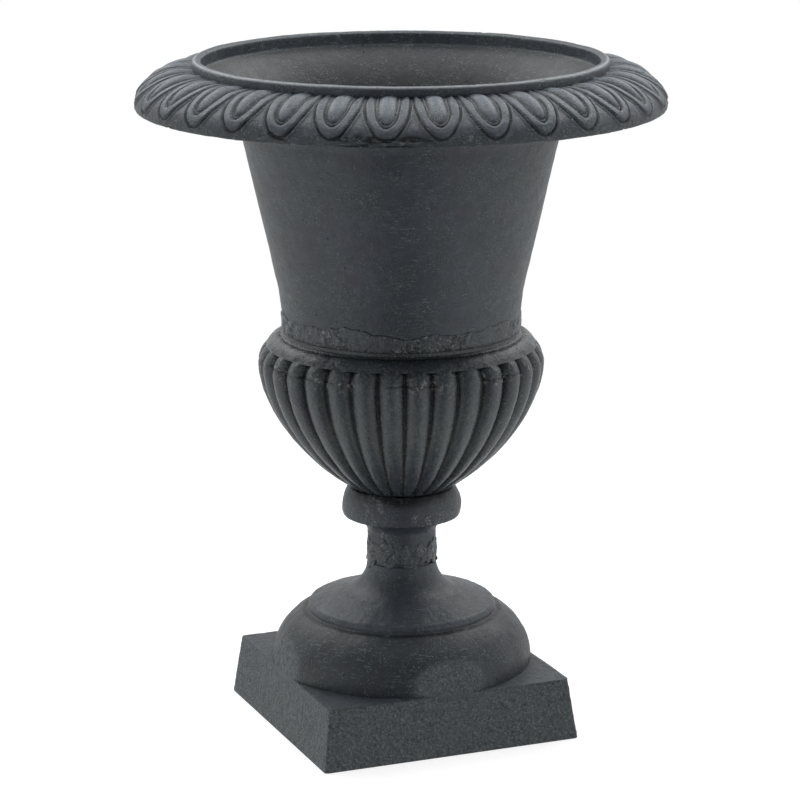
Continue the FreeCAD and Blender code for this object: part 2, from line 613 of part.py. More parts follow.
def egg_section(distance, swell):
    """One section of an egg, square to the rim: an arc, scaled by the swell, over a back inside the rim.

    The arc meets the rim's surface at the egg's width and is carried on down to the back.
    """
    crown = value("sizes.egg_crown")
    sink = value("sizes.carving_sink")
    size = ((value("sizes.egg_width") / 2) ** 2 + crown ** 2) / (2 * crown)
    half_back = math.sqrt(size ** 2 - (size - crown - sink) ** 2)
    surface, outwards = on_rim(distance)
    sideways = Vector(0, swell * half_back, 0)
    back = surface - outwards * sink * swell
    top = surface + outwards * crown * swell
    arc = Part.Arc(back - sideways, top, back + sideways)
    section = doc.addObject("Part::Feature", "egg_section")
    section.Shape = Part.Wire([arc.toShape(), Part.makeLine(back + sideways, back - sideways)])
    return section


def egg():
    """One egg at angle zero: straight-ruled strips between sections, closing in towards the tip."""
    power = value("sizes.egg_fullness")
    places = [(share * value("sizes.egg_straight"), 1) for share in STRAIGHT_SHARES]
    places += [(value(f"sizes.egg_straight + {share} * sizes.egg_taper"), (1 - share ** power) ** (1 / power))
               for share in TAPER_SHARES]
    loft = doc.addObject("Part::Loft", "egg")
    loft.Sections = [egg_section(distance, swell) for distance, swell in places]
    loft.Solid = True
    loft.Ruled = True
    return loft


def band():
    """One raised band at angle zero: a loop, square to the rim, punched out of a skin over the rim."""
    skin = turned_body("carving_skin", offset_rim())
    joint, outwards = on_rim(value("levels.rim_back_length"))
    uphill = Vector(-outwards.z, 0, outwards.x)
    loop = doc.addObject("Sketcher::SketchObject", "band_loop")
    loop.Placement = FreeCAD.Placement(joint, FreeCAD.Rotation(Vector(0, 1, 0), uphill, outwards, "ZXY"))
    top = "levels.rim_back_chord + sizes.carving_sink"
    inside_bend = "levels.band_inside_low + 2 * sizes.band_loop * levels.band_inside"
    outside_bend = "levels.band_outside_low + 2 * sizes.band_loop * levels.band_outside"
    draw_outline(loop, [
        ("-levels.band_outside", top),
        ("-levels.band_outside", outside_bend, "sizes.band_loop"),
        ("levels.band_outside", outside_bend),
        ("levels.band_outside", top),
        ("levels.band_inside", top),
        ("levels.band_inside", inside_bend, "-sizes.band_loop"),
        ("-levels.band_inside", inside_bend),
        ("-levels.band_inside", top),
    ])
    punch = doc.addObject("Part::Extrusion", "band_punch")
    punch.Base = loop
    punch.DirMode = "Normal"
    punch.Solid = True
    punch.setExpression("LengthFwd", "2 * sizes.band_height")
    punch.setExpression("LengthRev", "levels.rim_back_chord / 2")
    doc.recompute()
    result = doc.addObject("Part::MultiCommon", "band")
    result.Shapes = [skin, punch]
    return result


def offset_rim():
    """The outline of a skin that stands over the rim's two arcs by the band's height, and sinks into them."""
    joint, outwards = on_rim(value("levels.rim_back_length"))
    over = [f"{part} * sizes.band_height" for part in (outwards.x, outwards.z)]
    under = [f"{part} * sizes.carving_sink" for part in (outwards.x, outwards.z)]
    return [
        ("sizes.rim_radius - sizes.carving_sink", "levels.rim_widest"),
        ("sizes.rim_radius + sizes.band_height", "levels.rim_widest", "sizes.rim_nose_bulge"),
        (f"levels.rim_nose_radius + {over[0]}", f"levels.rim_nose + {over[1]}", "sizes.rim_back_bulge"),
        ("sizes.lip_radius", "levels.rim_top + sizes.band_height"),
        ("sizes.lip_radius - sizes.carving_sink", "levels.rim_top + sizes.band_height"),
        ("sizes.lip_radius - sizes.carving_sink", "levels.rim_top - sizes.carving_sink"),
        (f"levels.rim_nose_radius - {under[0]}", f"levels.rim_nose - {under[1]}"),
    ]


def ringed(item):
    """Links to one egg or band, turned to each of its places round the axis."""
    links = []
    for index, angle in around("sizes.egg_count", "sizes.egg_turn"):
        link = doc.addObject("App::Link", f"{item.Label}_{index + 1}")
        link.LinkedObject = item
        link.Placement = FreeCAD.Placement(Vector(0, 0, 0), FreeCAD.Rotation(UP, value(angle)))
        links.append(link)
    return links


# ----------------------------------------------------------------------------------------------------------
# Cement and fasteners
# ----------------------------------------------------------------------------------------------------------

def cement_ring(name, inside, outside, low, high, proud):
    """A bead that fills a recess from face to face and swells a little over it."""
    bulge = f"({proud}) / (({high}) - ({low}))"
    return turned_body(name, [(inside, low), (outside, low, bulge), (outside, high), (inside, high)])


def flange_bolts():
    """The bolts, their washers and their nuts, as three groups."""
    flange_high = "levels.waist_joint + sizes.flange_thickness"
    flange_low = "levels.waist_joint - sizes.flange_thickness"
    seat = f"{flange_high} + sizes.bolt_washer_thickness"
    nut_low = f"{flange_low} - sizes.bolt_nut_height"
    bolts = []
    washers = []
    nuts = []
    for index, angle in around("sizes.bolt_count", "sizes.bolt_turn"):
        spot = ("sizes.bolt_circle", angle)
        number = index + 1
        head = hexagon(f"bolt_head_{number}", "sizes.bolt_head_flats", seat,
                       f"{seat} + sizes.bolt_head_height", *spot)
        shank = cylinder(f"bolt_shank_{number}", "sizes.bolt_radius", f"{nut_low} - sizes.bolt_tail", seat, *spot)
        bolts.append(joined(f"bolt_{number}", [head, shank]))
        disc = cylinder(f"bolt_washer_disc_{number}", "sizes.bolt_washer_radius", flange_high, seat, *spot)
        eye = cylinder(f"bolt_washer_eye_{number}", "sizes.bolt_radius + sizes.bolt_hole_gap", flange_high,
                       seat, *spot)
        washers.append(cut(f"bolt_washer_{number}", disc, eye))
        block = hexagon(f"bolt_nut_block_{number}", "sizes.bolt_head_flats", nut_low, flange_low, *spot)
        thread = cylinder(f"bolt_nut_thread_{number}", "sizes.bolt_radius + sizes.thread_gap", nut_low,
                          flange_low, *spot)
        nuts.append(cut(f"bolt_nut_{number}", block, thread))
    return [group("bell_bolts", bolts), group("bell_washers", washers), group("bell_nuts", nuts)]


def tie():
    """The rod through floor, neck and foot, with its nuts, its washers and the bar that it pulls on."""
    upper_nut_low = "levels.floor + sizes.rod_washer_thickness"
    upper_nut_high = f"{upper_nut_low} + sizes.rod_nut_height"
    bar_low = "levels.ceiling - sizes.bar_thickness"
    lower_nut_high = f"{bar_low} - sizes.rod_washer_thickness"
    lower_nut_low = f"{lower_nut_high} - sizes.rod_nut_height"
    clear = "sizes.rod_radius + sizes.rod_hole_gap"
    thread = "sizes.rod_radius + sizes.thread_gap"

    rod = cylinder("tie_rod", "sizes.rod_radius", f"{lower_nut_low} - sizes.rod_tail",
                   f"{upper_nut_high} + sizes.rod_tail")
    upper_washer = washer("upper_washer", clear, "sizes.rod_washer_radius", "levels.floor",
                          "sizes.rod_washer_thickness")
    lower_washer = washer("lower_washer", clear, "sizes.rod_washer_radius", lower_nut_high,
                          "sizes.rod_washer_thickness")
    upper_nut = cut("upper_nut", hexagon("upper_nut_block", "sizes.rod_nut_flats", upper_nut_low, upper_nut_high),
                    cylinder("upper_nut_thread", thread, upper_nut_low, upper_nut_high))
    lower_nut = cut("lower_nut", hexagon("lower_nut_block", "sizes.rod_nut_flats", lower_nut_low, lower_nut_high),
                    cylinder("lower_nut_thread", thread, lower_nut_low, lower_nut_high))
    flat = doc.addObject("Part::Box", "clamp_bar_flat")
    flat.setExpression("Length", "sizes.bar_length")
    flat.setExpression("Width", "sizes.bar_width")
    flat.setExpression("Height", "sizes.bar_thickness")
    flat.setExpression("Placement.Base.x", "-sizes.bar_length / 2")
    flat.setExpression("Placement.Base.y", "-sizes.bar_width / 2")
    flat.setExpression("Placement.Base.z", bar_low)
    bar = cut("clamp_bar", flat, cylinder("clamp_bar_eye", clear, bar_low, "levels.ceiling"))
    return [rod, upper_washer, upper_nut, bar, lower_washer, lower_nut]


# ----------------------------------------------------------------------------------------------------------
# The whole planter
# ----------------------------------------------------------------------------------------------------------

nodes = [bell_casting(), gadroon_bowl(), pedestal_foot()]
nodes.append(cement_ring("bell_joint_cement", "levels.waist_recess_radius + sizes.cement_gap",
                         "sizes.waist_radius", "levels.waist_low", "levels.waist_high",
                         "sizes.waist_cement_proud"))
nodes.append(cement_ring("neck_joint_cement", "levels.recess_radius + sizes.cement_gap", "sizes.neck_radius",
                         "levels.cement_low", "levels.cement_high", "sizes.cement_proud"))
nodes += flange_bolts()
nodes += tie()
doc.recompute()

for item in doc.Objects:
    if "Invalid" in item.State or "Error" in item.State:
        raise RuntimeError(f"{item.Name} failed: {item.State}")
for node in nodes:
    if node.Shape.isNull() or not node.Shape.isValid():
        raise RuntimeError(f"{node.Label} has no valid shape")

os.makedirs("parts", exist_ok=True)
for node in nodes:
    node.Shape.exportStep(f"parts/{node.Label}.step")
    box = node.Shape.BoundBox
    print(f"{node.Label}: {len(node.Shape.Solids)} solid(s), {node.Shape.Volume / 1000:.1f} cm3, "
          f"{box.XLength:.1f} x {box.YLength:.1f} x {box.ZLength:.1f} mm from {box.ZMin:.1f}")
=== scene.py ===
# %% [markdown]
# # A cast-iron urn planter, dressed in its paint
#
# The planter is three hollow castings: a bell with a rolled rim, a gadrooned bowl on a knop, and a moulded
# foot on a square plinth. Two joints between them are pointed up with rough iron cement, and a rod and four
# bolts hold everything together inside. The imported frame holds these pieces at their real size. This lesson
# gives each of them the surface that a painted sand casting has: soft edges, pits, seams, lumps and a satin
# coat.

# %% Load the frame
import math
from types import SimpleNamespace

import bpy
import numpy as np
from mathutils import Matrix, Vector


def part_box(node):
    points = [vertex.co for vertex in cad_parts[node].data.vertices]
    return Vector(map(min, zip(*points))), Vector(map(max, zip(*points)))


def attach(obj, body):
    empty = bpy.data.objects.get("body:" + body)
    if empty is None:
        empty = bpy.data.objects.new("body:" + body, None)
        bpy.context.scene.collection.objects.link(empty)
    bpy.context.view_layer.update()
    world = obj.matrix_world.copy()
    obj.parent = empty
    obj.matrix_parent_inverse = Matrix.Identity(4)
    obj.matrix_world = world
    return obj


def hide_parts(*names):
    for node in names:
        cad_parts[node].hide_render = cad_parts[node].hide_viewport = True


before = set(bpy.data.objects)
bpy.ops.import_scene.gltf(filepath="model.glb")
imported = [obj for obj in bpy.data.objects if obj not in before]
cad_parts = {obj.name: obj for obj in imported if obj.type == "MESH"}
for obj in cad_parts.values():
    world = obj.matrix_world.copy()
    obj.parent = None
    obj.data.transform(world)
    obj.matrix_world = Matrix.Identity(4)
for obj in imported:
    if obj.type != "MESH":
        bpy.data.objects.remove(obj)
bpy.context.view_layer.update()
MM = 0.001

# %% [markdown]
# ## Sizes
#
# Every piece has to sit where the frame says, so the driving sizes are read from the nodes' boxes. The rest
# are steps up and in from those. All are in millimetres, as a caster would give them.

# %% Sizes read from the frame


def extent(node):
    """A node's reach along X and its lowest and highest points, in millimetres."""
    low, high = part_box(node)
    return high.x / MM, low.z / MM, high.z / MM


RIM_RADIUS, WAIST_JOINT, LIP_CROWN = extent("bell_casting")
BELLY_RADIUS, SPIGOT_LOW, _ = extent("gadroon_bowl")
PLINTH_HALF, _, NECK_JOINT = extent("pedestal_foot")
_, WAIST_LOW, WAIST_HIGH = extent("bell_joint_cement")
_, CEMENT_LOW, CEMENT_HIGH = extent("neck_joint_cement")
print(f"rim {RIM_RADIUS:.1f}, plinth {PLINTH_HALF:.1f}, joints at {NECK_JOINT:.1f} and {WAIST_JOINT:.1f}")

# %% [markdown]
# ## Surfaces from outlines
#
# A turned casting is one closed outline carried round an axis. The surface is then a grid: one parameter runs
# along the outline, the other round the axis, and both close on themselves, so there is no seam and no pole
# to mend. A real casting has no sharp corner, because sand can't hold one. A moving average along the outline
# rounds every corner at once, which is simpler than bevelling each edge.

# %% Straight and bowed runs

FINE = 0.25


def bow(start, end, bulge=0.0):
    """Points from start up to, but without, end, a quarter of a millimetre apart.

    They lie on the arc whose rise over the chord is bulge times the chord, to the right of the way it runs:
    half_turn = 2 atan(2 bulge), radius = chord / (2 sin half_turn). With no bulge they lie on the chord.
    """
    start, end = np.array(start, float), np.array(end, float)
    chord = end - start
    length = np.hypot(*chord)
    count = max(2, int(np.ceil(length / FINE)))
    share = np.arange(count) / count
    if bulge == 0:
        return start + share[:, None] * chord
    along = chord / length
    outwards = np.array([along[1], -along[0]])
    half_turn = 2 * np.arctan(2 * bulge)
    radius = length / (2 * np.sin(half_turn))
    turn = half_turn * (2 * share - 1)
    return ((start + end) / 2 + np.outer(np.sin(turn) * radius, along)
            + np.outer((np.cos(turn) - np.cos(half_turn)) * radius, outwards))


def path(corners):
    """Runs through corners of radius, height, bulge and rows. A run belongs to the corner that it leaves."""
    return [(bow(here[:2], there[:2], here[2]), here[3]) for here, there in zip(corners, corners[1:])]


def ring(corners):
    """Runs through corners and back to the first one."""
    return path(corners + corners[:1])


# %% One closed outline


def profile(runs, softness=0.5, ease=0.8):
    """A closed, anticlockwise outline with rounded corners, read off at each run's own number of rows.

    Rounding is a Gaussian average of width `softness` along the line. Rows crowd towards the ends of a run,
    as share - ease sin(2 pi share) / (2 pi), because that is where the surface bends. The outward direction
    is the tangent turned a quarter to the right.
    """
    fine = np.concatenate([points for points, rows in runs])
    reach = int(3 * softness / FINE)
    offsets = range(-reach, reach + 1)
    weights = [math.exp(-0.5 * (offset * FINE / softness) ** 2) for offset in offsets]
    rolled = [weight * np.roll(fine, offset, axis=0) for weight, offset in zip(weights, offsets)]
    soft = sum(rolled) / sum(weights)
    tangent = np.roll(soft, -1, axis=0) - np.roll(soft, 1, axis=0)
    tangent /= np.linalg.norm(tangent, axis=1)[:, None]
    steps = np.linalg.norm(np.roll(soft, -1, axis=0) - soft, axis=1)
    length = np.concatenate([[0], np.cumsum(steps)])

    picks, first = [], 0
    for points, rows in runs:
        share = np.arange(rows) / rows
        picks.append(first + len(points) * (share - ease * np.sin(2 * np.pi * share) / (2 * np.pi)))
        first += len(points)
    picks = np.concatenate(picks)
    index = np.arange(first + 1)

    def read(values):
        return np.interp(picks, index, np.append(values, values[0]))

    number = np.repeat(np.arange(len(runs)), [rows for points, rows in runs])
    return SimpleNamespace(radius=read(soft[:, 0]), height=read(soft[:, 1]), run=number,
                           out_radius=read(tangent[:, 1]), out_height=read(-tangent[:, 0]),
                           length=np.interp(picks, index, length))


def on(line, first, last):
    """A column that is true in the rows of these runs."""
    return ((line.run >= first) & (line.run <= last))[:, None]


# %% Carry an outline round, and make the mesh


def around(columns):
    """The angles of evenly spaced columns."""
    return 2 * np.pi * np.arange(columns) / columns


def turned(line, angle, push=0.0):
    """Rows by columns of points: the outline, moved outwards by push, at each angle round the axis."""
    push = np.broadcast_to(push, (len(line.radius), len(angle)))
    radius = line.radius[:, None] + push * line.out_radius[:, None]
    height = line.height[:, None] + push * line.out_height[:, None]
    return np.dstack([radius * np.cos(angle), radius * np.sin(angle), height])


def placed(name, data):
    """A new object of the scene with this mesh, lamp or lens."""
    item = bpy.data.objects.new(name, data)
    bpy.context.scene.collection.objects.link(item)
    return item


PLAIN = 0.5


def skin(name, points, node, slot="painted_iron", **amounts):
    """A mesh over a grid of points that closes both ways, with a number per point for each named amount.

    The paint reads three amounts. Relief runs from 0 in a hollow over PLAIN to 1 on a crest, and past 1 on
    the sharpest edges: low relief darkens cracks and paints shade in hollows, and high relief is partly wear
    and partly a painted highlight. Rough is chalky, which also stands for a painted glint, and coarse is
    pebbled like sand.
    """
    rows, columns = points.shape[:2]
    here = np.arange(rows * columns).reshape(rows, columns)
    beside = np.roll(here, -1, axis=1)
    above = np.roll(here, -1, axis=0)
    across = np.roll(beside, -1, axis=0)
    corners = np.stack([here, beside, across, above], axis=-1).reshape(-1)
    mesh = bpy.data.meshes.new(name)
    mesh.vertices.add(here.size)
    mesh.vertices.foreach_set("co", (points * MM).reshape(-1))
    mesh.loops.add(corners.size)
    mesh.loops.foreach_set("vertex_index", corners)
    mesh.polygons.add(here.size)
    mesh.polygons.foreach_set("loop_start", np.arange(here.size) * 4)
    mesh.update(calc_edges=True)
    mesh.shade_smooth()
    for amount, values in amounts.items():
        values = np.broadcast_to(values, (rows, columns)).reshape(-1)
        layer = mesh.attributes.new(amount, "FLOAT", "POINT")
        layer.data.foreach_set("value", values.astype(np.float32))
    piece = placed(name, mesh)
    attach(piece, "root")
    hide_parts(node)
    print(f"{name}: {rows} x {columns} points, {2 * here.size} triangles")
    return piece


# %% [markdown]
# ## Lumps, pits and cracks
#
# Sand castings are uneven at every scale. A sum of plane waves in random directions is smooth, has lumps of
# one size, and needs no seam, because it is worked out from the point in space and not from the grid. Where
# such a sum crosses zero it draws wandering lines, and those make good cracks.

# %% Uneven surfaces


def lumps(points, size, seed, waves=30):
    """Smooth unevenness of about -1 to 1 whose lumps are `size` millimetres across.

    It is the sum of sin(k . p + phase) over random directions k, with wavelengths near twice the size.
    """
    rng = np.random.default_rng(seed)
    direction = rng.normal(size=(waves, 3))
    direction /= np.linalg.norm(direction, axis=1)[:, None]
    direction *= (2 * np.pi / (size * rng.uniform(1.4, 2.8, waves)))[:, None]
    phase = rng.uniform(0, 2 * np.pi, waves)
    total = sum(np.sin(points @ direction[wave] + phase[wave]) for wave in range(waves))
    return total / math.sqrt(waves)


def step_up(value, low, high):
    """0 below low, 1 above high, and a smooth S between them."""
    share = np.clip((value - low) / (high - low), 0, 1)
    return share * share * (3 - 2 * share)


def hump(value, middle, half):
    """A smooth hill of height 1: half a cosine wave about the middle, 0 beyond half on either side."""
    share = np.clip(np.abs(value - middle) / half, 0, 1)
    return 0.5 + 0.5 * np.cos(np.pi * share)


def cracks(points, size, width, seed):
    """1 on wandering lines about `width` millimetres wide, 0 off them: where the lumps cross zero."""
    return np.exp(-(lumps(points, size, seed) * size / (1.5 * width)) ** 2)


CAMERA_SIDE = -112.1


def toward(angle, aside, half):
    """A hump in angle, in degrees to the right of the side that faces the camera."""
    apart = (np.degrees(angle) - (CAMERA_SIDE + aside) + 180) % 360 - 180
    return hump(apart, 0, half)


# %% [markdown]
# ## The rolled rim
#
# The rim is an ovolo, a quarter-round moulding, carved with the old egg-and-dart: an egg, a thread beside it,
# a broad band that loops under it, and between two bands a pair of thin barbs that part like a dart's. All
# but the egg are humps of one distance, measured from the egg's middle line, so the whole carving is a sum of
# humps. Carving each egg as a mesh of its own would leave joints that a casting hasn't got.

# %% The egg and its bands

EGGS = 32
EGG_TURN = -2.6
EGG_HALF = 6.3
EGG_BEND = 20.0
EGG_TIP = 39.4
EGG_FULLNESS = 2.2
EGG_CROWN = 3.1
LOOP_DEEPER = 10.5
LOOP_STEP = 1.3
LOOP_FADE = (50.5, 53.8)


def loop_number(down, side):
    """Half the width of the loop through a point: the loops are nested, and each ends in half an ellipse.

    The ellipse of half width t starts where the egg bends and is 10.5 + 1.3 t deep. Its t is found by
    repeating t = hypot(side, past t / (10.5 + 1.3 t)), which settles in a few rounds.
    """
    past = np.maximum(down - EGG_BEND, 0)
    half = np.hypot(side, np.maximum(past - LOOP_DEEPER, 0) / LOOP_STEP)
    for _ in range(8):
        half = np.hypot(side, past * half / (LOOP_DEEPER + LOOP_STEP * half))
    return half


def egg_and_dart(down, across):
    """Height of the carving at a distance down from the lip and across from the egg's middle.

    Egg: level is (|across| / half) ** p + (past the bend / taper) ** p, and its height is
    crown (1 - level) ** 0.85. The thread, band, groove and barb round it are ridges and dips at their own
    loop numbers. Near the lip the cells are narrow, so the outer ones are drawn in and the band is thinner.
    The second result is the painted shade that darkens the grooves.
    """
    side = np.abs(across)
    past = np.maximum(down - EGG_BEND, 0) / (EGG_TIP - EGG_BEND)
    level = (side / EGG_HALF) ** EGG_FULLNESS + past ** EGG_FULLNESS
    egg = EGG_CROWN * np.clip(1 - level, 0, 1) ** 0.85 * (0.45 + 0.55 * step_up(down, 0, 12))
    number = loop_number(down, side)
    near_lip = np.clip(1 - down / 18, 0, 1)
    outer = number * (1 + 0.1 * near_lip)
    inside = 9.0 + 2.2 * near_lip
    thread = 0.6 * hump(number, 7.5, 0.8)
    band = 1.4 * step_up(number, inside - 0.6, inside + 0.7) * (1 - step_up(outer, 13.9, 15.1))
    grooves = 0.4 * hump(number, 6.6, 0.7) + 0.7 * hump(number, 8.45, 0.8) + 1.1 * hump(outer, 15.8, 1.0)
    barb = 0.9 * hump(outer, 17.2, 1.2)
    loops = 1 - step_up(down, *LOOP_FADE)
    shade = 0.4 * hump(number, 6.2, 1.5) + 0.5 * hump(number, 8.45, 1.1) + 0.6 * hump(outer, 15.8, 1.4)
    return egg + (thread + band - grooves + barb) * (1 - 0.4 * near_lip) * loops, shade * loops


# %% Columns that crowd into the grooves

CELL_KNOTS = (0.0, 0.32, 0.35, 0.54, 0.58, 0.72, 0.76, 1.0)
CELL_PACES = (1.5, 1.5, 0.7, 0.7, 1.4, 1.4, 0.8, 0.8)
COLUMNS_PER_EGG = 48


def crowded_columns():
    """Angles of the columns: in each half cell the step between them follows the paces at the knots."""
    share = np.linspace(0, 1, 401)
    steps = np.interp(share, CELL_KNOTS, CELL_PACES)
    count = np.concatenate([[0], np.cumsum(1 / steps[1:])])
    half = np.interp(np.linspace(0, 1, COLUMNS_PER_EGG // 2 + 1), count / count[-1], share)
    cell = np.concatenate([-half[:0:-1], half[:-1]]) / 2
    turns = (np.arange(EGGS)[:, None] + cell).reshape(-1) / EGGS
    return 2 * np.pi * turns + math.radians(EGG_TURN)


# %% The rim's surface

LIP_TOP = LIP_CROWN - 2.2
RIM_TOP = LIP_TOP - 5.2
NOSE = (RIM_RADIUS - 7.15, RIM_TOP - 12.7)
LIP_RADIUS = 153.0
FLARE_TOP = (147.0, RIM_TOP - 11.0)
RIM_LOW = RIM_TOP - 29.3
RING_ONLY = (1, 1, 0)
LOW_EDGE = (45.5, 49.0)
RIM_SINK = 0.55
# Millimetres of carving height for one whole step of painted light, from painted shade to painted highlight.
EGG_SHADE = 4.2

rim_line = profile(ring([
    (FLARE_TOP[0] - 0.5, FLARE_TOP[1] + 1.5, 0, 2),
    (163.9, RIM_TOP - 7.5, 0, 2),
    (181.35, RIM_TOP - 14.0, 0, 2),
    (RIM_RADIUS - 6.6, RIM_LOW, 0, 2),
    (RIM_RADIUS - 1.4, RIM_LOW, 0, 2),
    (RIM_RADIUS, RIM_LOW + 1.3, 0.1108, 20),
    (*NOSE, 0.0882, 30),
    (LIP_RADIUS, RIM_TOP, 0, 3),
    (LIP_RADIUS - 3.5, RIM_TOP + 0.5, 0, 1),
    (LIP_RADIUS - 4.5, RIM_TOP - 2.0, 0, 1),
]), softness=0.6, ease=0.25)
carved = on(rim_line, 4, 7)
lip_length = rim_line.length[rim_line.run == 7][0]
down = (lip_length - rim_line.length)[:, None]
rim_angle = crowded_columns()
rim_base = turned(rim_line, rim_angle)
turn = (np.degrees(rim_angle) - EGG_TURN) * EGGS / 360
cell = np.round(turn).astype(int) % EGGS
pitch = 2 * np.pi * rim_line.radius[:, None] / EGGS
wander = 0.22 * lumps(rim_base, 9, 11)
rng = np.random.default_rng(10)
uneven = rng.uniform(-0.7, 0.7, EGGS)[cell]
carving, shade = egg_and_dart(down + uneven * step_up(down, 8, 30), (turn - np.round(turn)) * pitch + wander)
carving *= carved * (1 + 0.1 * lumps(rim_base, 25, 13))
low_edge = step_up(down, *LOW_EDGE) * carved
front_left = toward(rim_angle, -3, 12)
splits = cracks(rim_base * (0.5, 0.5, 2.2), 11, 1.1, 14) * low_edge
splits *= np.clip(front_left * 2.2 + 0.7 * step_up(lumps(rim_base, 26, 15), 0.6, 1.1), 0, 1)
flaw = 1.8 * hump(down, 49.8, 2.8) * toward(rim_angle, -8, 7)
flaw += 1.3 * hump(down, 50.6, 1.3) * front_left
splits = np.clip(splits + flaw * carved * step_up(lumps(rim_base, 3.5, 19), -0.6, 0.2), 0, 1)
rough_rim = 0.07 * lumps(rim_base, 5, 16) + 0.035 * lumps(rim_base, 2.2, 17)
chips = 0.4 * low_edge * step_up(lumps(rim_base, 4, 18), 1.0, 1.5)
rim_push = carving + rough_rim - 1.1 * splits - chips - RIM_SINK
# Painted light on the rim: shade in the grooves and towards the low edge, and paler where the carving stands
# high, partly wear and partly a painted highlight. The splits are dark cracks.
rim_relief = np.clip(0.44 + carving / EGG_SHADE - shade - 0.1 * low_edge, 0, 1)
rim = skin("rim", turned(rim_line, rim_angle, rim_push), "bell_casting",
           relief=np.where(carved, rim_relief, PLAIN) - 0.9 * splits, rough=np.clip(chips - splits, 0, 1))

# %% [markdown]
# ## The bell
#
# The bell is one long cone with a flare on top and a lip inside the rim. It is the plainest surface, so what
# it shows is how it was made: shallow dents, and faint level ridges from the joints of the wooden pattern.
# The pits and the brush marks are too small for a mesh and come with the paint.

# %% The bell's surface

FLANGE = 8.0
FLANGE_BORE = 63.5
WAIST_RADIUS = 88.2
RECESS_RADIUS = 84.5
BELL_WALL = 6.7
BAND = (90.6, WAIST_HIGH + 20.0)
CONE = (117.3, BAND[1] + 119.0)
LIP_INSIDE = LIP_RADIUS - 8.0
PATTERN_JOINTS = (4.0, 66.0, 92.0)

bell_line = profile(ring([
    (FLANGE_BORE, WAIST_JOINT, 0, 3),
    (RECESS_RADIUS, WAIST_JOINT, 0, 2),
    (RECESS_RADIUS, WAIST_HIGH, 0, 2),
    (WAIST_RADIUS, WAIST_HIGH, 0, 10),
    (*BAND, 0, 46),
    (*CONE, -0.08, 16),
    (*FLARE_TOP, 0, 3),
    (LIP_RADIUS, RIM_TOP, 0, 5),
    (LIP_RADIUS, LIP_TOP, 0.275, 9),
    (LIP_INSIDE, LIP_TOP, 0, 6),
    (LIP_INSIDE, LIP_TOP - 9.2, 0.094, 14),
    (CONE[0] - BELL_WALL, CONE[1], 0, 12),
    (BAND[0] - BELL_WALL, BAND[1], 0, 4),
    (WAIST_RADIUS - BELL_WALL, WAIST_JOINT + FLANGE, 0, 4),
    (FLANGE_BORE, WAIST_JOINT + FLANGE, 0, 2),
]))
bell_angle = around(720)
bell_base = turned(bell_line, bell_angle)
level = bell_line.height[:, None]
lip = on(bell_line, 7, 9)
bell_push = 0.16 * lumps(bell_base, 32, 21) + 0.07 * lumps(bell_base * (1, 1, 2.0), 10, 22)
bell_push += 0.04 * lumps(bell_base, 4, 23) - 0.5 * lip
seams = sum(hump(level, BAND[1] + rise, 1.6) for rise in PATTERN_JOINTS)
bell_push += 0.15 * seams * step_up(lumps(bell_base, 40, 24), 0.1, 0.7)
lip_chips = lip * step_up(lumps(bell_base, 6, 27), 1.1, 1.6)
bell_push -= 0.3 * lip_chips
# The lip's crown is painted bare and pale: partly wear, partly a painted highlight.
lip_edge = hump(bell_line.radius, LIP_RADIUS - 2.2, 1.9)[:, None] * on(bell_line, 8, 8)
# The inside of the bell is painted darker: painted shade.
shaded_inside = on(bell_line, 10, 14)
bell = skin("bell", turned(bell_line, bell_angle, bell_push), "bell_casting",
            relief=PLAIN + 1.0 * lip_edge - 0.36 * shaded_inside - 0.3 * lip_chips, rough=0.4 * lip_chips)

# %% [markdown]
# ## The gadrooned bowl
#
# Thirty-two gadroons, round ribs that swell and taper like the segments of an orange, stand side by side with
# a sharp valley between each pair. Across the bowl each rib is an arc, and up the bowl they follow one curve,
# so the wall is a single grid again: the crest's radius times one minus the arc's fall. The valleys end in
# rounded pockets under a smooth shoulder. The two halves of the mould left a seam over the ribs.

# %% The crest's curve

LOBES = 32
LOBE_TURN = -3.8
KNOP_TOP = NECK_JOINT + 51.5
BELLY = KNOP_TOP + 96.5
BELLY_DEPTH = 112.0
LOBE_HEAD = (101.0, BELLY + 12.5)
SHOULDER_TOP = LOBE_HEAD[1] + 8.8
VALLEY = 0.25 * 2 * np.pi / LOBES
RIB_ARC = 0.83
POCKET = (2.2, 4.5)
BOWL_SINK = 0.45
BOWL_WALL = 7.0


def crest(height):
    """The crest's radius below the widest point: (r / belly) ** 1.45 + (depth / deepest) ** 1.75 = 1."""
    depth = np.clip((BELLY - height) / BELLY_DEPTH, 0, 1)
    return BELLY_RADIUS * (1 - depth ** 1.75) ** (1 / 1.45)


def crest_run(low, high):
    """Points of the crest's curve between two heights, without the last."""
    height = np.arange(low, high, FINE)
    return np.stack([crest(height), height], axis=-1)


def inner_wall(high, low):
    """Points down the inside of the bowl: the valleys' curve, moved in by the wall."""
    height = np.arange(high, low, -FINE)
    return np.stack([crest(height - BOWL_WALL / 2) * (1 - VALLEY) - BOWL_WALL, height], axis=-1)


# %% The bowl's surface

SEAM = BELLY + 3.4
FLOOR = KNOP_TOP + 8.0
head_mid = (BELLY_RADIUS - 0.36 * (BELLY_RADIUS - LOBE_HEAD[0]), BELLY + 7.5)
inside_belly = (BELLY_RADIUS * (1 - VALLEY) - BOWL_WALL, BELLY)
inside_floor = crest(FLOOR - BOWL_WALL / 2) * (1 - VALLEY) - BOWL_WALL

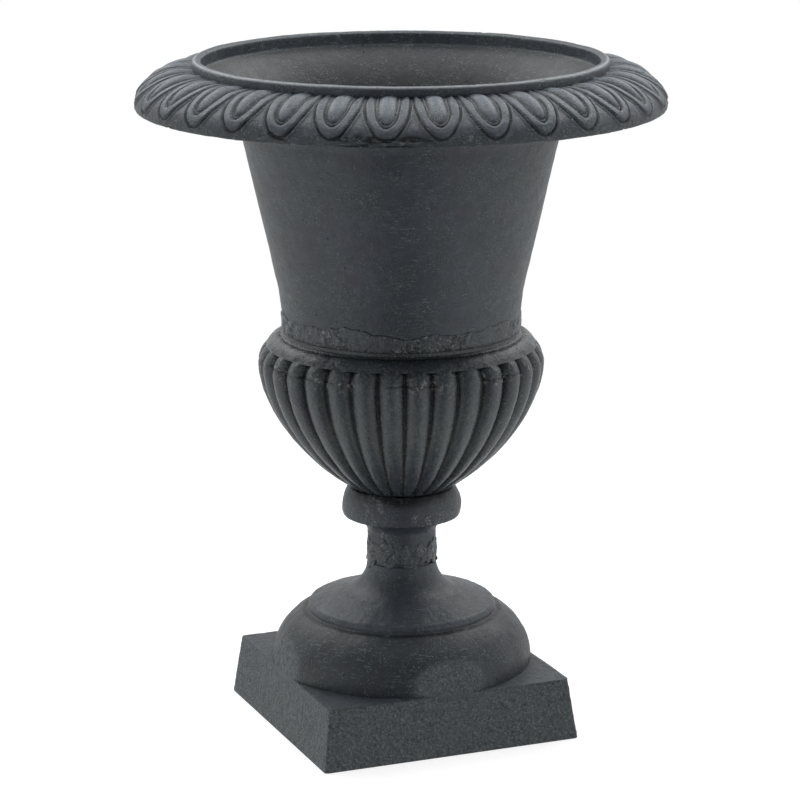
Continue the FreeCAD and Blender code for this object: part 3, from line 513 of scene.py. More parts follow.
bowl_runs = [(crest_run(KNOP_TOP, BELLY - 18), 29), (crest_run(BELLY - 18, BELLY), 9)]
bowl_runs += path([
    (BELLY_RADIUS, BELLY, 0.0, 1),
    (BELLY_RADIUS, BELLY + 0.8, 0.05, 9),
    (*head_mid, 0.06, 8),
    (*LOBE_HEAD, 0.13, 13),
    (89.4, SHOULDER_TOP, 0, 2),
    (WAIST_RADIUS, SHOULDER_TOP, 0, 4),
    (WAIST_RADIUS, WAIST_LOW, 0, 2),
    (RECESS_RADIUS, WAIST_LOW, 0, 2),
    (RECESS_RADIUS, WAIST_JOINT, 0, 2),
    (FLANGE_BORE, WAIST_JOINT, 0, 2),
    (FLANGE_BORE, WAIST_JOINT - FLANGE, 0, 2),
    (WAIST_RADIUS - BELL_WALL, WAIST_JOINT - FLANGE, 0, 3),
    inside_belly + (0, 0),
])
bowl_runs += [(inner_wall(BELLY, FLOOR), 7)]
bowl_runs += path([
    (inside_floor, FLOOR, 0, 1),
    (inside_floor, KNOP_TOP, 0, 1),
    (crest(KNOP_TOP), KNOP_TOP, 0, 0),
])
bowl_line = profile(bowl_runs)
bowl_angle = around(32 * LOBES)
bowl_base = turned(bowl_line, bowl_angle)
outside = on(bowl_line, 0, 5)
ribbed = on(bowl_line, 0, 4)
level = bowl_line.height[:, None]
turn = (np.degrees(bowl_angle) - LOBE_TURN) * LOBES / 360
across = 2 * np.abs(turn - np.round(turn))
lobe = np.round(turn).astype(int) % LOBES
fall = (1 - np.sqrt(1 - (RIB_ARC * across) ** 2)) / (1 - math.sqrt(1 - RIB_ARC ** 2))
pocket_top = LOBE_HEAD[1] + POCKET[0] - POCKET[1] * (1 - across) ** 2
depth = VALLEY * 1.15 * fall * step_up(pocket_top - level, -0.4, 1.8) * ribbed
rng = np.random.default_rng(30)
lobe_swell = rng.uniform(-0.25, 0.25, LOBES)[lobe]
undercut = rng.uniform(0.1, 0.9, LOBES)[lobe]
shoulder = step_up(level, LOBE_HEAD[1] - 2.5, LOBE_HEAD[1] + 1)
flat_ring = bowl_base * RING_ONLY
seam_zone = hump(level, SEAM + 0.6 * lumps(flat_ring, 24, 31), 9)
seam_line = hump(level, SEAM + 0.5 * lumps(flat_ring, 18, 31), 1.3)
patchy = step_up(lumps(bowl_base, 16, 33), -0.4, 0.6)
scabs = step_up(lumps(bowl_base, 2.6, 32), 0.2, 1.0) * seam_zone * patchy
broken = lumps(bowl_base, 20, 36)
bowl_push = lobe_swell * (1 - shoulder) * (1 - across ** 2) - BOWL_SINK
bowl_push += 0.15 * lumps(bowl_base, 8, 34) + 0.07 * lumps(bowl_base, 2.6, 35)
bowl_push -= 0.7 * seam_line * step_up(broken, -0.3, 0.5)
bowl_push += 0.35 * scabs * lumps(bowl_base, 1.9, 37)
bowl_push -= undercut * hump(level, LOBE_HEAD[1] + 1.6, 1.3) * hump(across, 0, 0.55)
bowl_push -= 1.5 * hump(level, SHOULDER_TOP + 0.9, 2.3)
head_crease = hump(level, LOBE_HEAD[1] + 1.2, 1.6) * hump(across, 0, 0.7) * undercut
# Painted shade on the shoulder and in the groove above it, deeper on the side towards the camera, over the
# lobe heads in front, and in the creases over the heads. The mould seam adds its own dark line.
seen_side = 0.5 + 0.5 * toward(bowl_angle, 0, 80)
painted_shade_and_seam = 0.36 * shoulder + 0.5 * hump(level, SHOULDER_TOP + 2.4, 6.2) * seen_side
painted_shade_and_seam += 0.18 * hump(level, LOBE_HEAD[1] + 5.0, 7.0) * toward(bowl_angle, 8, 34)
painted_shade_and_seam += 0.9 * seam_line * step_up(broken, -0.5, 0.3) + 0.45 * head_crease
bowl_points = turned(bowl_line, bowl_angle, outside * bowl_push)
bowl_points[..., :2] *= (1 - depth)[..., None]
# Relief falls from the crests to 0 in the valleys: painted shade in the valleys, and crests that are partly
# worn and partly a painted highlight.
cavity = 1 - fall * (depth > 0.2 * VALLEY * fall)
bowl_relief = np.clip(0.02 + 0.84 * cavity ** 1.1 - painted_shade_and_seam, 0, 1)
bowl = skin("gadroons", bowl_points, "gadroon_bowl", relief=np.where(outside, bowl_relief, PLAIN),
            rough=np.clip(1.2 * scabs, 0, 1))

# %% The bowl's floor, with its drain holes

ROD_HOLE = 6.75
DRAIN_CIRCLE = 22.0
DRAIN_RADIUS = 5.0
FLOOR_EDGE = inside_floor + 1.0

floor_line = profile(ring([
    (ROD_HOLE, KNOP_TOP, 0, 12),
    (FLOOR_EDGE, KNOP_TOP, 0, 5),
    (FLOOR_EDGE, FLOOR, 0, 12),
    (ROD_HOLE, FLOOR, 0, 5),
]), softness=0.35)
floor_angle = around(96)
floor_push = 0.1 * lumps(turned(floor_line, floor_angle), 5, 41)
bowl_floor = skin("bowl_floor", turned(floor_line, floor_angle, floor_push), "gadroon_bowl",
                  relief=0.4, rough=0.2)


def drill(piece, angles, circle, radius, low, high):
    """Upright holes at angles on a circle, cut with Boolean modifiers that are then applied."""
    for number, turn in enumerate(angles):
        x, y = circle * math.cos(turn), circle * math.sin(turn)
        bpy.ops.mesh.primitive_cylinder_add(vertices=32, radius=radius * MM, depth=(high - low) * MM,
                                            location=(x * MM, y * MM, (low + high) / 2 * MM))
        bit = bpy.context.object
        hole = piece.modifiers.new(f"hole_{number}", "BOOLEAN")
        hole.object = bit
        hole.operation = "DIFFERENCE"
        hole.solver = "EXACT"
        bpy.context.view_layer.objects.active = piece
        bpy.ops.object.modifier_apply(modifier=hole.name)
        bpy.data.objects.remove(bit)


drill(bowl_floor, around(3), DRAIN_CIRCLE, DRAIN_RADIUS, KNOP_TOP - 2, FLOOR + 2)
print("bowl floor drilled:", len(bowl_floor.data.polygons), "faces")

# %% [markdown]
# ## The knop
#
# Under the bowl hangs a knop like a mushroom's cap: a round cushion with a sharp lower edge, hollowed beneath
# where it sweeps into the neck. One side of it was badly filled in the mould and is scabbed.

# %% The knop's surface

NECK_RADIUS = 26.0
NECK_RECESS = 24.2
KNOP_LOW = NECK_JOINT + 18.0
KNOP_EDGE = (43.9, KNOP_LOW + 11.0)

knop_line = profile(ring([
    (12.0, SPIGOT_LOW, 0, 1),
    (17.7, SPIGOT_LOW, 0, 2),
    (17.7, NECK_JOINT, 0, 2),
    (NECK_RECESS, NECK_JOINT, 0, 4),
    (NECK_RECESS, CEMENT_HIGH, 0, 2),
    (NECK_RADIUS, CEMENT_HIGH, 0, 16),
    (NECK_RADIUS, KNOP_LOW, -0.16, 26),
    (*KNOP_EDGE, 0.125, 46),
    (39.4, KNOP_TOP, 0, 2),
    (30.0, KNOP_TOP, 0, 3),
    (30.0, KNOP_TOP - 12.0, 0, 3),
    (12.0, KNOP_LOW + 4.0, 0, 4),
]))
knop_angle = around(640)
knop_base = turned(knop_line, knop_angle)
shown = on(knop_line, 5, 8)
level = knop_line.height[:, None]
scab = toward(knop_angle, 26, 24) * hump(level, KNOP_EDGE[1] + 5, 9)
scab += 0.4 * toward(knop_angle, -30, 25)
scab *= step_up(lumps(knop_base, 4, 51), -0.3, 0.7) * shown
# Painted shade round the top of the knop under the bowl, strongest on the side towards the camera.
recess = (0.35 + 0.4 * toward(knop_angle, 0, 30)) * step_up(level, KNOP_TOP - 10, KNOP_TOP - 1)
knop_push = shown * (0.16 * lumps(knop_base, 9, 52) + 0.05 * lumps(knop_base, 2.2, 53) - 0.15)
knop_push += 0.5 * scab * lumps(knop_base, 1.9, 54)
knop = skin("knop", turned(knop_line, knop_angle, knop_push), "gadroon_bowl",
            relief=np.clip(PLAIN - recess * shown, 0, 1), rough=np.clip(1.1 * scab, 0, 1))

# %% [markdown]
# ## The foot
#
# A round cushion stands on the plinth, then a disc, and a cove sweeps up into the neck. The plinth is smaller
# than the cushion is wide, so its four sides, carried on upwards, slice a low mound off the cushion. A soft
# minimum of the distance to the side does this: it is a plain clamp with a rounded edge.

# %% The moulding above the plinth

PLINTH_HEIGHT = 46.0
DRAFT = 6.0 / PLINTH_HEIGHT
CUSHION_TOP = PLINTH_HEIGHT + 40.4
DISC_TOP = CUSHION_TOP + 6.9
COVE_FOOT = (46.0, DISC_TOP + 7.1)
FOOT_CEILING = CUSHION_TOP - 7.0
HOLLOW_RADIUS = 89.1
HIDDEN = 5.0
CUSHION_RADIUS = 98.0
FOOT_BORE = 18.0


def clamp_to_plinth(points, softness=1.0):
    """Draw x and y in to the plinth's sides: the soft minimum -k log(exp(-|x| / k) + exp(-half / k))."""
    half = (PLINTH_HALF - DRAFT * points[..., 2])[..., None]
    plan = points[..., :2]
    beyond = (np.abs(plan) - half) / softness
    drawn = half - softness * np.log1p(np.exp(-beyond))
    clamped = points.copy()
    clamped[..., :2] = np.sign(plan) * np.where(beyond < -12, np.abs(plan), drawn)
    return clamped, step_up(beyond.max(axis=-1), -3.0, 0.5)


foot_line = profile(ring([
    (CUSHION_RADIUS, PLINTH_HEIGHT - HIDDEN, 0, 2),
    (CUSHION_RADIUS, PLINTH_HEIGHT, 0.155, 44),
    (73.0, CUSHION_TOP, 0, 2),
    (70.6, CUSHION_TOP, 0.24, 12),
    (67.5, DISC_TOP, 0, 14),
    (*COVE_FOOT, -0.174, 24),
    (NECK_RADIUS, CEMENT_LOW, 0, 2),
    (NECK_RECESS, CEMENT_LOW, 0, 3),
    (NECK_RECESS, NECK_JOINT, 0, 2),
    (FOOT_BORE, NECK_JOINT, 0, 4),
    (FOOT_BORE, FOOT_CEILING, 0, 4),
    (66.0, FOOT_CEILING, 0, 4),
    (84.0, FOOT_CEILING - 17.4, 0, 4),
    (HOLLOW_RADIUS, PLINTH_HEIGHT - 7.0, 0, 2),
]), softness=0.55)
foot_angle = around(720)
foot_base = turned(foot_line, foot_angle)
shown = on(foot_line, 1, 6)
level = foot_line.height[:, None]
_, sliced = clamp_to_plinth(foot_base)
# The crease under the disc is painted in shade, on top of the groove it makes. The cushion is painted a
# little darker where it isn't sliced.
crease = hump(level, CUSHION_TOP, 1.6) * on(foot_line, 0, 2)
foot_push = shown * (0.18 * lumps(foot_base, 12, 61) + 0.06 * lumps(foot_base, 2.8, 62) - 0.15)
foot_push -= 0.4 * crease * shown
foot_points, _ = clamp_to_plinth(turned(foot_line, foot_angle, foot_push))
pebbles = 0.16 * lumps(foot_base, 2.2, 63) + 0.22 * lumps(foot_base, 9, 64)
sideways = foot_points[..., :2] / np.linalg.norm(foot_points[..., :2], axis=-1, keepdims=True)
foot_points[..., :2] += sideways * (sliced * shown * pebbles)[..., None]
on_cushion = on(foot_line, 1, 1) * (1 - sliced)
moulding = skin("foot_moulding", foot_points, "pedestal_foot",
                relief=np.clip(PLAIN - 0.4 * crease - 0.26 * on_cushion, 0, 1), coarse=sliced * shown)

# %% [markdown]
# ## The plinth
#
# The plinth is square, so a grid in angle would crowd the corners and starve the sides. Its columns run along
# the square's edge at an even pace instead. Pushing each point to a corner radius from an inner square rounds
# the four uprights, and the rows that lie under the cushion change from the square to a circle. The sides
# were moulded in coarse sand and are pebbled all over. The top was dressed smoother.

# %% The plinth's surface

PLINTH_COLUMNS = 1024
PLINTH_CORNER = 2.5
WALL = 7.0


def square_plan(half, roundness):
    """Points and outward directions along a square of a half width whose corners have a radius.

    A point walks the unit square at an even pace. It is drawn in to the inner square, and from there it goes
    out again by the corner's radius, which leaves the sides straight and turns the corners into arcs.
    """
    pace = 8 * (np.arange(PLINTH_COLUMNS) / PLINTH_COLUMNS - 0.125)
    x = np.clip(np.abs((pace + 8) % 8 - 4) - 2, -1, 1) * -1
    y = np.clip(np.abs((pace + 6) % 8 - 4) - 2, -1, 1) * -1
    unit = np.stack([x, y], axis=-1)
    full = half[:, None, None] * unit
    inner = np.clip(full, -(half - roundness)[:, None, None], (half - roundness)[:, None, None])
    direction = full - inner
    direction /= np.linalg.norm(direction, axis=-1, keepdims=True)
    circle = unit / np.linalg.norm(unit, axis=-1, keepdims=True)
    return inner + roundness[:, None, None] * direction, direction, circle


plinth_line = profile(ring([
    (PLINTH_HALF, 0.0, 0, 44),
    (PLINTH_HALF - DRAFT * PLINTH_HEIGHT, PLINTH_HEIGHT, 0, 26),
    (HOLLOW_RADIUS - 18.0, PLINTH_HEIGHT, 0, 2),
    (HOLLOW_RADIUS - 18.0, PLINTH_HEIGHT - WALL, 0, 5),
    (PLINTH_HALF - WALL - DRAFT * (PLINTH_HEIGHT - WALL), PLINTH_HEIGHT - WALL, 0, 8),
    (PLINTH_HALF - WALL, 0.0, 0, 4),
]), softness=0.7)
half = plinth_line.radius
corner = np.clip(half - (PLINTH_HALF - 12), 0, PLINTH_CORNER) + 0.3
square, direction, circle = square_plan(half, corner)
roundness = step_up(PLINTH_HALF - 10 - half, 0, 12)[:, None, None]
plan = square * (1 - roundness) + half[:, None, None] * circle * roundness
plinth_base = np.dstack([plan, np.broadcast_to(plinth_line.height[:, None], plan.shape[:2])])
side = on(plinth_line, 0, 0)
top = on(plinth_line, 1, 1)
# The top edge of the sides is painted paler, partly wear and partly a painted highlight. The top is painted a
# little darker than the sides.
edge_wear_and_highlight = hump(plinth_line.height, PLINTH_HEIGHT - 0.4, 1.2)[:, None] * side
chipped = hump(plinth_line.height, 0.0, 2.0)[:, None] * side * step_up(lumps(plinth_base, 7, 74), 0.3, 0.9)
grit = 0.13 * lumps(plinth_base, 2.1, 71) + 0.1 * lumps(plinth_base, 5, 72)
swells = 0.28 * lumps(plinth_base, 30, 73)
plinth_push = side * (grit + swells - 0.75) + top * (0.3 * grit + 0.4 * swells - 0.2)
plinth_points = plinth_base.copy()
plinth_points[..., :2] += direction * (plinth_push * plinth_line.out_radius[:, None])[..., None]
plinth_points[..., 2] += plinth_push * plinth_line.out_height[:, None]
plinth_points[..., 2] = np.maximum(plinth_points[..., 2], 0)
plinth = skin("plinth", plinth_points, "pedestal_foot",
              relief=PLAIN + 0.5 * edge_wear_and_highlight - 0.14 * top, rough=0.7 * chipped, coarse=side + 0.15 * top)

# %% [markdown]
# ## The cement in the joints
#
# Founders close such joints with iron cement, trowelled in by hand. It fills a recess and smears over the
# iron with a ragged edge, lumps and cracks. Each bead is a closed ring whose outside dips under the iron
# where the smear ends, so that the ragged edge is simply where the two surfaces cross.

# %% The bead round the waist

SMEAR_TOP = WAIST_HIGH + 8.0
BEHIND = WAIST_RADIUS - 3.2

waist_line = profile(ring([
    (BEHIND, WAIST_LOW + 0.3, 0, 2),
    (WAIST_RADIUS + 0.1, WAIST_LOW + 0.2, 0, 22),
    (WAIST_RADIUS + 0.1, WAIST_HIGH, 0, 20),
    (WAIST_RADIUS + 0.95, SMEAR_TOP, 0, 2),
    (BEHIND, SMEAR_TOP - 1.0, 0, 5),
]), softness=0.3)
waist_angle = around(960)
waist_base = turned(waist_line, waist_angle)
flat_ring = waist_base * RING_ONLY
level = waist_line.height[:, None]
front = on(waist_line, 1, 2)
ragged = WAIST_HIGH + 4.0 + 2.2 * lumps(flat_ring, 24, 81) + 1.1 * lumps(flat_ring, 6, 82)
smear = step_up(ragged - level, -0.1, 0.9)
crack_line = hump(level, ragged - 0.6, 1.3) * step_up(lumps(flat_ring, 15, 80), -0.6, 0.3)
worst = toward(waist_angle, 25, 26) + toward(waist_angle, -62, 34)
lumpy = np.clip(step_up(lumps(flat_ring, 30, 88), 0.0, 0.9) + worst, 0, 1)
clods = (0.15 + 0.3 * lumpy) * lumps(waist_base, 6, 83) + (0.03 + 0.34 * lumpy) * lumps(waist_base, 2.3, 84)
fissures = cracks(waist_base * (1, 1, 1.6), 9, 0.45, 85) * step_up(lumps(waist_base, 16, 86), 0.3, 0.9)
bulk = 0.8 + clods * step_up(level, WAIST_LOW, WAIST_LOW + 2.0) - 0.8 * fissures
waist_push = front * (smear * bulk - 1.3 * (1 - smear) - 0.9 * crack_line)
flecks = step_up(lumps(waist_base, 2.2, 87), 0.5, 1.0) * lumpy
# Painted shade at the foot of the bead and in the dips between the clods. The fissures and the crack line are
# dark cracks.
foot_shade = hump(level, WAIST_LOW, 3.5)
waist_relief = PLAIN + 0.3 * clods - 0.6 * fissures - 0.8 * crack_line - 0.35 * foot_shade
waist_cement = skin("waist_cement", turned(waist_line, waist_angle, waist_push), "bell_joint_cement",
                    slot="joint_cement", relief=np.clip(waist_relief, 0, 1),
                    rough=np.clip(0.1 + 0.9 * flecks, 0, 1) * front)

# %% The collar on the neck

COVE_CURVE = 24.9
BEHIND = NECK_RADIUS - 3.4
collar_low = CEMENT_LOW - 6.5
collar_high = CEMENT_HIGH + 7.5
collar_foot = NECK_RADIUS + (CEMENT_LOW - collar_low) ** 2 / (2 * COVE_CURVE)

collar_line = profile(ring([
    (BEHIND, collar_low + 1.0, 0, 2),
    (collar_foot, collar_low, -0.03, 12),
    (NECK_RADIUS, CEMENT_LOW, 0, 26),
    (NECK_RADIUS, CEMENT_HIGH, 0, 14),
    (NECK_RADIUS, collar_high, 0, 2),
    (BEHIND, collar_high - 1.0, 0, 6),
]), softness=0.3)
collar_angle = around(480)
collar_base = turned(collar_line, collar_angle)
flat_ring = collar_base * RING_ONLY
level = collar_line.height[:, None]
front = on(collar_line, 1, 3)
upper = CEMENT_HIGH + 2.5 + 3.0 * lumps(flat_ring, 10, 91) + 1.6 * lumps(flat_ring, 3, 92)
lower = CEMENT_LOW - 1.5 + 2.6 * lumps(flat_ring, 9, 93) + 1.6 * lumps(flat_ring, 3, 94)
smear = step_up(upper - level, -0.2, 1.3) * step_up(level - lower, -0.2, 1.3)
clods = 0.32 * lumps(collar_base, 4.5, 95) + 0.2 * lumps(collar_base, 1.9, 96)
fissures = cracks(collar_base, 7, 0.4, 97) * step_up(lumps(collar_base, 9, 98), 0.0, 0.7)
flecks = step_up(lumps(collar_base, 3, 99), 0.6, 1.2)
collar_push = front * (smear * (0.45 + clods - 0.8 * fissures) - 1.2 * (1 - smear))
# The relief follows the clods, so their dips carry painted shade. The fissures are dark cracks.
neck_cement = skin("neck_cement", turned(collar_line, collar_angle, collar_push), "neck_joint_cement",
                   slot="joint_cement", relief=np.clip(0.47 + 0.3 * clods - 0.5 * fissures, 0, 1),
                   rough=np.clip(0.15 + 0.5 * flecks, 0, 1) * front)

# %% [markdown]
# ## The paint
#
# The coat is one dark blue-grey paint, but time has made it many: greener in patches, and chalky on the rough
# cement. Light is painted in too: shade in the hollows and creases, paler crests and edges that are partly
# wear and partly a painted highlight, and a painted glint on the chalk. The grid's own numbers, relief, rough
# and coarse, steer these changes, and noise at eight sizes breaks them up.

# %% Small helpers for node trees


def is_socket(value):
    """Whether a value comes from a node. A socket knows its node tree, as id_data."""
    return isinstance(value, bpy.types.NodeSocket)


def feed(value, socket):
    """Give an input its value: a link from another socket, or else a number or colour."""
    if is_socket(value):
        socket.id_data.links.new(value, socket)
    else:
        socket.default_value = value


def add(tree, kind, settings=None, **inputs):
    """Add a node. Settings are its own properties, and inputs are values for its named inputs."""
    node = tree.nodes.new(kind)
    for key, value in (settings or {}).items():
        setattr(node, key, value)
    for key, value in inputs.items():
        feed(value, node.inputs[key.replace("_", " ")])
    return node


def joined(kind, *values, settings=None):
    """The first output of a node whose first inputs take these values, in their order."""
    node = add(next(filter(is_socket, values)).id_data, kind, settings)
    for number, value in enumerate(values):
        feed(value, node.inputs[number])
    return node.outputs[0]


def maths(operation, first, second=0.0):
    """The socket of a Math node."""
    return joined("ShaderNodeMath", first, second, settings={"operation": operation})


def times(first, second):
    """The socket of a product."""
    return maths("MULTIPLY", first, second)


def mixed(factor, first, second):
    """The socket of a colour mix: inputs 0, 6 and 7 of a Mix node are its factor and its two colours."""
    node = add(factor.id_data, "ShaderNodeMix", {"data_type": "RGBA"})
    for number, value in ((0, factor), (6, first), (7, second)):
        feed((*value, 1) if isinstance(value, tuple) else value, node.inputs[number])
    return node.outputs[2]


def ranged(value, low, high, to_low=0.0, to_high=1.0, shape="LINEAR"):
    """The socket of a clamped Map Range node."""
    settings = {"clamp": True, "interpolation_type": shape}
    node = add(value.id_data, "ShaderNodeMapRange", settings, Value=value, From_Min=low, From_Max=high,
               To_Min=to_low, To_Max=to_high)
    return node.outputs["Result"]


def noise(place, scale, detail=3.0, roughness=0.55):
    """The socket of a Noise node, with its scale in lumps per metre."""
    return add(place.id_data, "ShaderNodeTexNoise", Vector=place, Scale=scale, Detail=detail,
               Roughness=roughness).outputs["Fac"]


# %% The parts that every material has


def new_material(name):
    """A material, its node tree, its shader, and the socket of the place on the object."""
    material = bpy.data.materials.new(name)
    material.use_nodes = True
    tree = material.node_tree
    place = tree.nodes.new("ShaderNodeTexCoord").outputs["Object"]
    return material, tree, tree.nodes["Principled BSDF"], place


def emboss(shader, height, strength, distance):
    """Tilt the surface by a height in the shader alone, for grain that is too fine for the mesh."""
    bump = add(shader.id_data, "ShaderNodeBump", Height=height, Strength=strength, Distance=distance)
    feed(bump.outputs["Normal"], shader.inputs["Normal"])


def coat(piece, material):
    """Give a piece this one material."""
    piece.data.materials.clear()
    piece.data.materials.append(material)


# %% Painted iron


def pinholes(place, spacing, radius, share):
    """1 in small round holes: near a Voronoi cell's point, in the given share of the cells."""
    cells = add(place.id_data, "ShaderNodeTexVoronoi", Vector=place, Scale=1000 / spacing)
    chosen = joined("ShaderNodeSeparateColor", cells.outputs["Color"])
    inside = ranged(cells.outputs["Distance"], radius / spacing, 0.6 * radius / spacing)
    return times(inside, maths("LESS_THAN", chosen, share))


PEBBLED = (0.082, 0.099, 0.107)
SPECK = (0.190, 0.222, 0.226)
# Chalky white on rough parts, which also stands for a painted glint.
CHALK_AND_GLINT = (0.30, 0.315, 0.325)
# Bare iron on the sharpest edges, which also stands for a painted highlight.
BARE_AND_HIGHLIGHT = (0.34, 0.35, 0.35)
# Relief below HOLLOW_START is painted shade, at its darkest at HOLLOW_FULL.
HOLLOW_FULL, HOLLOW_START = 0.05, 0.42


def painted_iron(name, dark, pale, green, grain=1.0, gloss=0.45, brushed=0.5):
    """Satin paint over sand-cast iron.

    Colour: dark to pale by 70 mm clouds, green and plum by 20 to 30 mm patches, a little mottled, painted
    shade in the hollows, and pale on the crests and bare on the sharpest edges, which is partly wear and
    partly a painted highlight. Over that lie sparse sharp marks: level dashes from the brush, pale specks and
    dark pores of a millimetre, and pinholes. Coarse faces are green-grey and full of specks. Chalky parts are
    whitened, which also stands for a painted glint. Gloss: satin, duller on coarse faces and in the hollows,
    where it deepens the painted shade.
    Height: grain and tooth, with the grain much stronger where the face is coarse.
    """
    material, tree, shader, place = new_material(name)
    relief, rough, coarse = [add(tree, "ShaderNodeAttribute", {"attribute_name": amount}).outputs["Fac"]
                             for amount in ("relief", "rough", "coarse")]
    level = add(tree, "ShaderNodeMapping", Vector=place, Scale=(1, 1, 6)).outputs["Vector"]
    aside = add(tree, "ShaderNodeMapping", Vector=place, Location=(3.1, 1.7, 5.3)).outputs["Vector"]

    clouds = noise(place, 14, 5, 0.6)
    patches = noise(place, 48, 4, 0.65)
    blushes = noise(aside, 34, 3, 0.6)
    mottle = noise(aside, 130, 5, 0.75)
    streaks = noise(level, 170, 3, 0.7)
    grains = noise(place, 480, 3, 0.7)
    sharp = noise(aside, 760, 2, 0.6)
    tooth = noise(place, 1500, 2, 0.5)

    def tinted(colour, share):
        return tuple(share * part for part in colour)

    plum = (dark[0] * 1.15, dark[1] * 0.97, dark[2] * 1.12)
    # Paler crests: partly wear, partly a painted highlight.
    crest_wear_and_highlight = times(ranged(relief, 0.6, 1.0, 0.0, 0.75), ranged(grains, 0.3, 0.55))
    worked = times(ranged(blushes, 0.56, 0.46), brushed)
    dashes = times(ranged(streaks, 0.58, 0.66), worked)
    gaps = times(ranged(streaks, 0.42, 0.34), worked)
    speckled = maths("MAXIMUM", coarse, ranged(patches, 0.44, 0.54, 0.1, 0.85))
    specks = maths("MAXIMUM", times(ranged(sharp, 0.6, 0.68), speckled),
                   times(ranged(grains, 0.55, 0.66), coarse))
    pores = maths("MAXIMUM", times(ranged(sharp, 0.42, 0.34), speckled),
                  times(ranged(grains, 0.45, 0.34), coarse))
    holes = maths("MAXIMUM", pinholes(place, 12, 1.0, 0.3), pinholes(aside, 7, 0.55, 0.3))
    # Chalky white on rough parts, partly chalk and partly a painted glint.
    chalk_and_glint = times(rough, ranged(sharp, 0.44, 0.58))

    colour = dark
    for share, tint in (
            (ranged(clouds, 0.36, 0.64), pale),
            (ranged(patches, 0.5, 0.68, 0.0, 0.75), green),
            (ranged(blushes, 0.5, 0.66, 0.0, 0.8), plum),
            (coarse, PEBBLED),
            (ranged(mottle, 0.52, 0.72, 0.0, 0.45), tinted(pale, 1.4)),
            (ranged(mottle, 0.48, 0.3, 0.0, 0.45), tinted(dark, 0.7)),
            # Painted shade in the hollows.
            (ranged(relief, HOLLOW_START, HOLLOW_FULL), tinted(dark, 0.25)),
            # Paler crests: partly wear, partly a painted highlight.
            (crest_wear_and_highlight, tinted(pale, 1.9)),
            # Bare on the sharpest edges: partly wear, partly a painted highlight.
            (ranged(relief, 1.0, 1.4), BARE_AND_HIGHLIGHT),
            (dashes, tinted(pale, 2.9)),
            (gaps, tinted(dark, 0.4)),
            (times(specks, 0.75), SPECK),
            (maths("MAXIMUM", times(pores, 0.75), holes), tinted(dark, 0.3)),
            # Chalky white, which also stands for a painted glint.
            (chalk_and_glint, CHALK_AND_GLINT)):
        colour = mixed(share, colour, tint)
    feed(colour, shader.inputs["Base Color"])

    # Less specular in the hollows, which deepens their painted shade.
    hollow_shade_gloss = ranged(relief, HOLLOW_FULL, HOLLOW_START, 0.35, 0.5)
    feed(hollow_shade_gloss, shader.inputs["Specular IOR Level"])
    satin = ranged(mottle, 0.3, 0.7, gloss + 0.08, gloss - 0.06)
    feed(maths("ADD", satin, times(coarse, 0.12)), shader.inputs["Roughness"])

    depth = times(grains, ranged(coarse, 0.0, 1.0, 0.6 * grain, 2.6 * grain))
    for part, share in ((tooth, 0.25 * grain), (mottle, 0.7), (dashes, 0.4), (chalk_and_glint, 0.7)):
        depth = maths("ADD", depth, times(part, share))
    emboss(shader, maths("SUBTRACT", depth, holes), 0.7, 0.0009)
    return material


BLUE_DARK = (0.0335, 0.043, 0.052)
BLUE_PALE = (0.050, 0.064, 0.077)
GREEN = (0.040, 0.056, 0.056)
bell_paint = painted_iron("bell paint", BLUE_DARK, BLUE_PALE, GREEN, grain=0.7, gloss=0.42, brushed=0.8)
bowl_paint = painted_iron("bowl paint", (0.031, 0.037, 0.045), (0.047, 0.060, 0.067), (0.039, 0.057, 0.050),
                          grain=1.1, gloss=0.27, brushed=0.3)
foot_paint = painted_iron("foot paint", (0.034, 0.043, 0.053), (0.052, 0.065, 0.079), (0.043, 0.060, 0.062),
                          grain=0.9, gloss=0.42, brushed=0.5)
cement_paint = painted_iron("cement paint", BLUE_DARK, (0.054, 0.066, 0.078), GREEN, grain=1.1, gloss=0.38,
                            brushed=0.3)
for piece, paint in ((rim, bell_paint), (bell, bell_paint), (bowl, bowl_paint), (bowl_floor, bowl_paint),
                     (knop, foot_paint), (moulding, foot_paint), (plinth, foot_paint),
                     (waist_cement, cement_paint), (neck_cement, cement_paint)):
    coat(piece, paint)

# %% [markdown]
# ## The fasteners
#
# Bolts, nuts, washers, the rod and the clamp bar stay as the frame's own bodies, because their shape is
# right. They only need a dull steel with turning marks and a bloom of rust in its pores.

# %% Weathered steel


def weathered_steel(name):
    """Dull steel: fine level turning marks in the roughness, and rust where two noises both run high."""
    material, tree, shader, place = new_material(name)
    stretched = add(tree, "ShaderNodeMapping", Vector=place, Scale=(1, 1, 14)).outputs["Vector"]
    marks = noise(stretched, 260, 2)
    blotches = noise(place, 90, 5, 0.65)
    pores = noise(place, 900, 3)
    rust = times(ranged(blotches, 0.48, 0.62), ranged(pores, 0.3, 0.6))
    colour = mixed(marks, (0.20, 0.195, 0.19), (0.31, 0.305, 0.30))
    colour = mixed(rust, colour, (0.105, 0.048, 0.024))
    dullness = ranged(maths("ADD", marks, rust), 0.3, 1.3, 0.36, 0.85)
    feed(colour, shader.inputs["Base Color"])
    feed(ranged(rust, 0.0, 1.0, 0.85, 0.1), shader.inputs["Metallic"])
    feed(dullness, shader.inputs["Roughness"])
    height = maths("ADD", times(pores, 0.5), times(marks, 0.3))
    emboss(shader, height, 0.5, 0.0004)
    return material


steel = weathered_steel("weathered steel")
FASTENERS = ("bell_bolts", "bell_washers", "bell_nuts", "tie_rod", "upper_washer", "upper_nut", "clamp_bar",
             "lower_washer", "lower_nut")
for name in FASTENERS:
    coat(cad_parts[name], steel)
print("steel on", len(FASTENERS), "nodes")

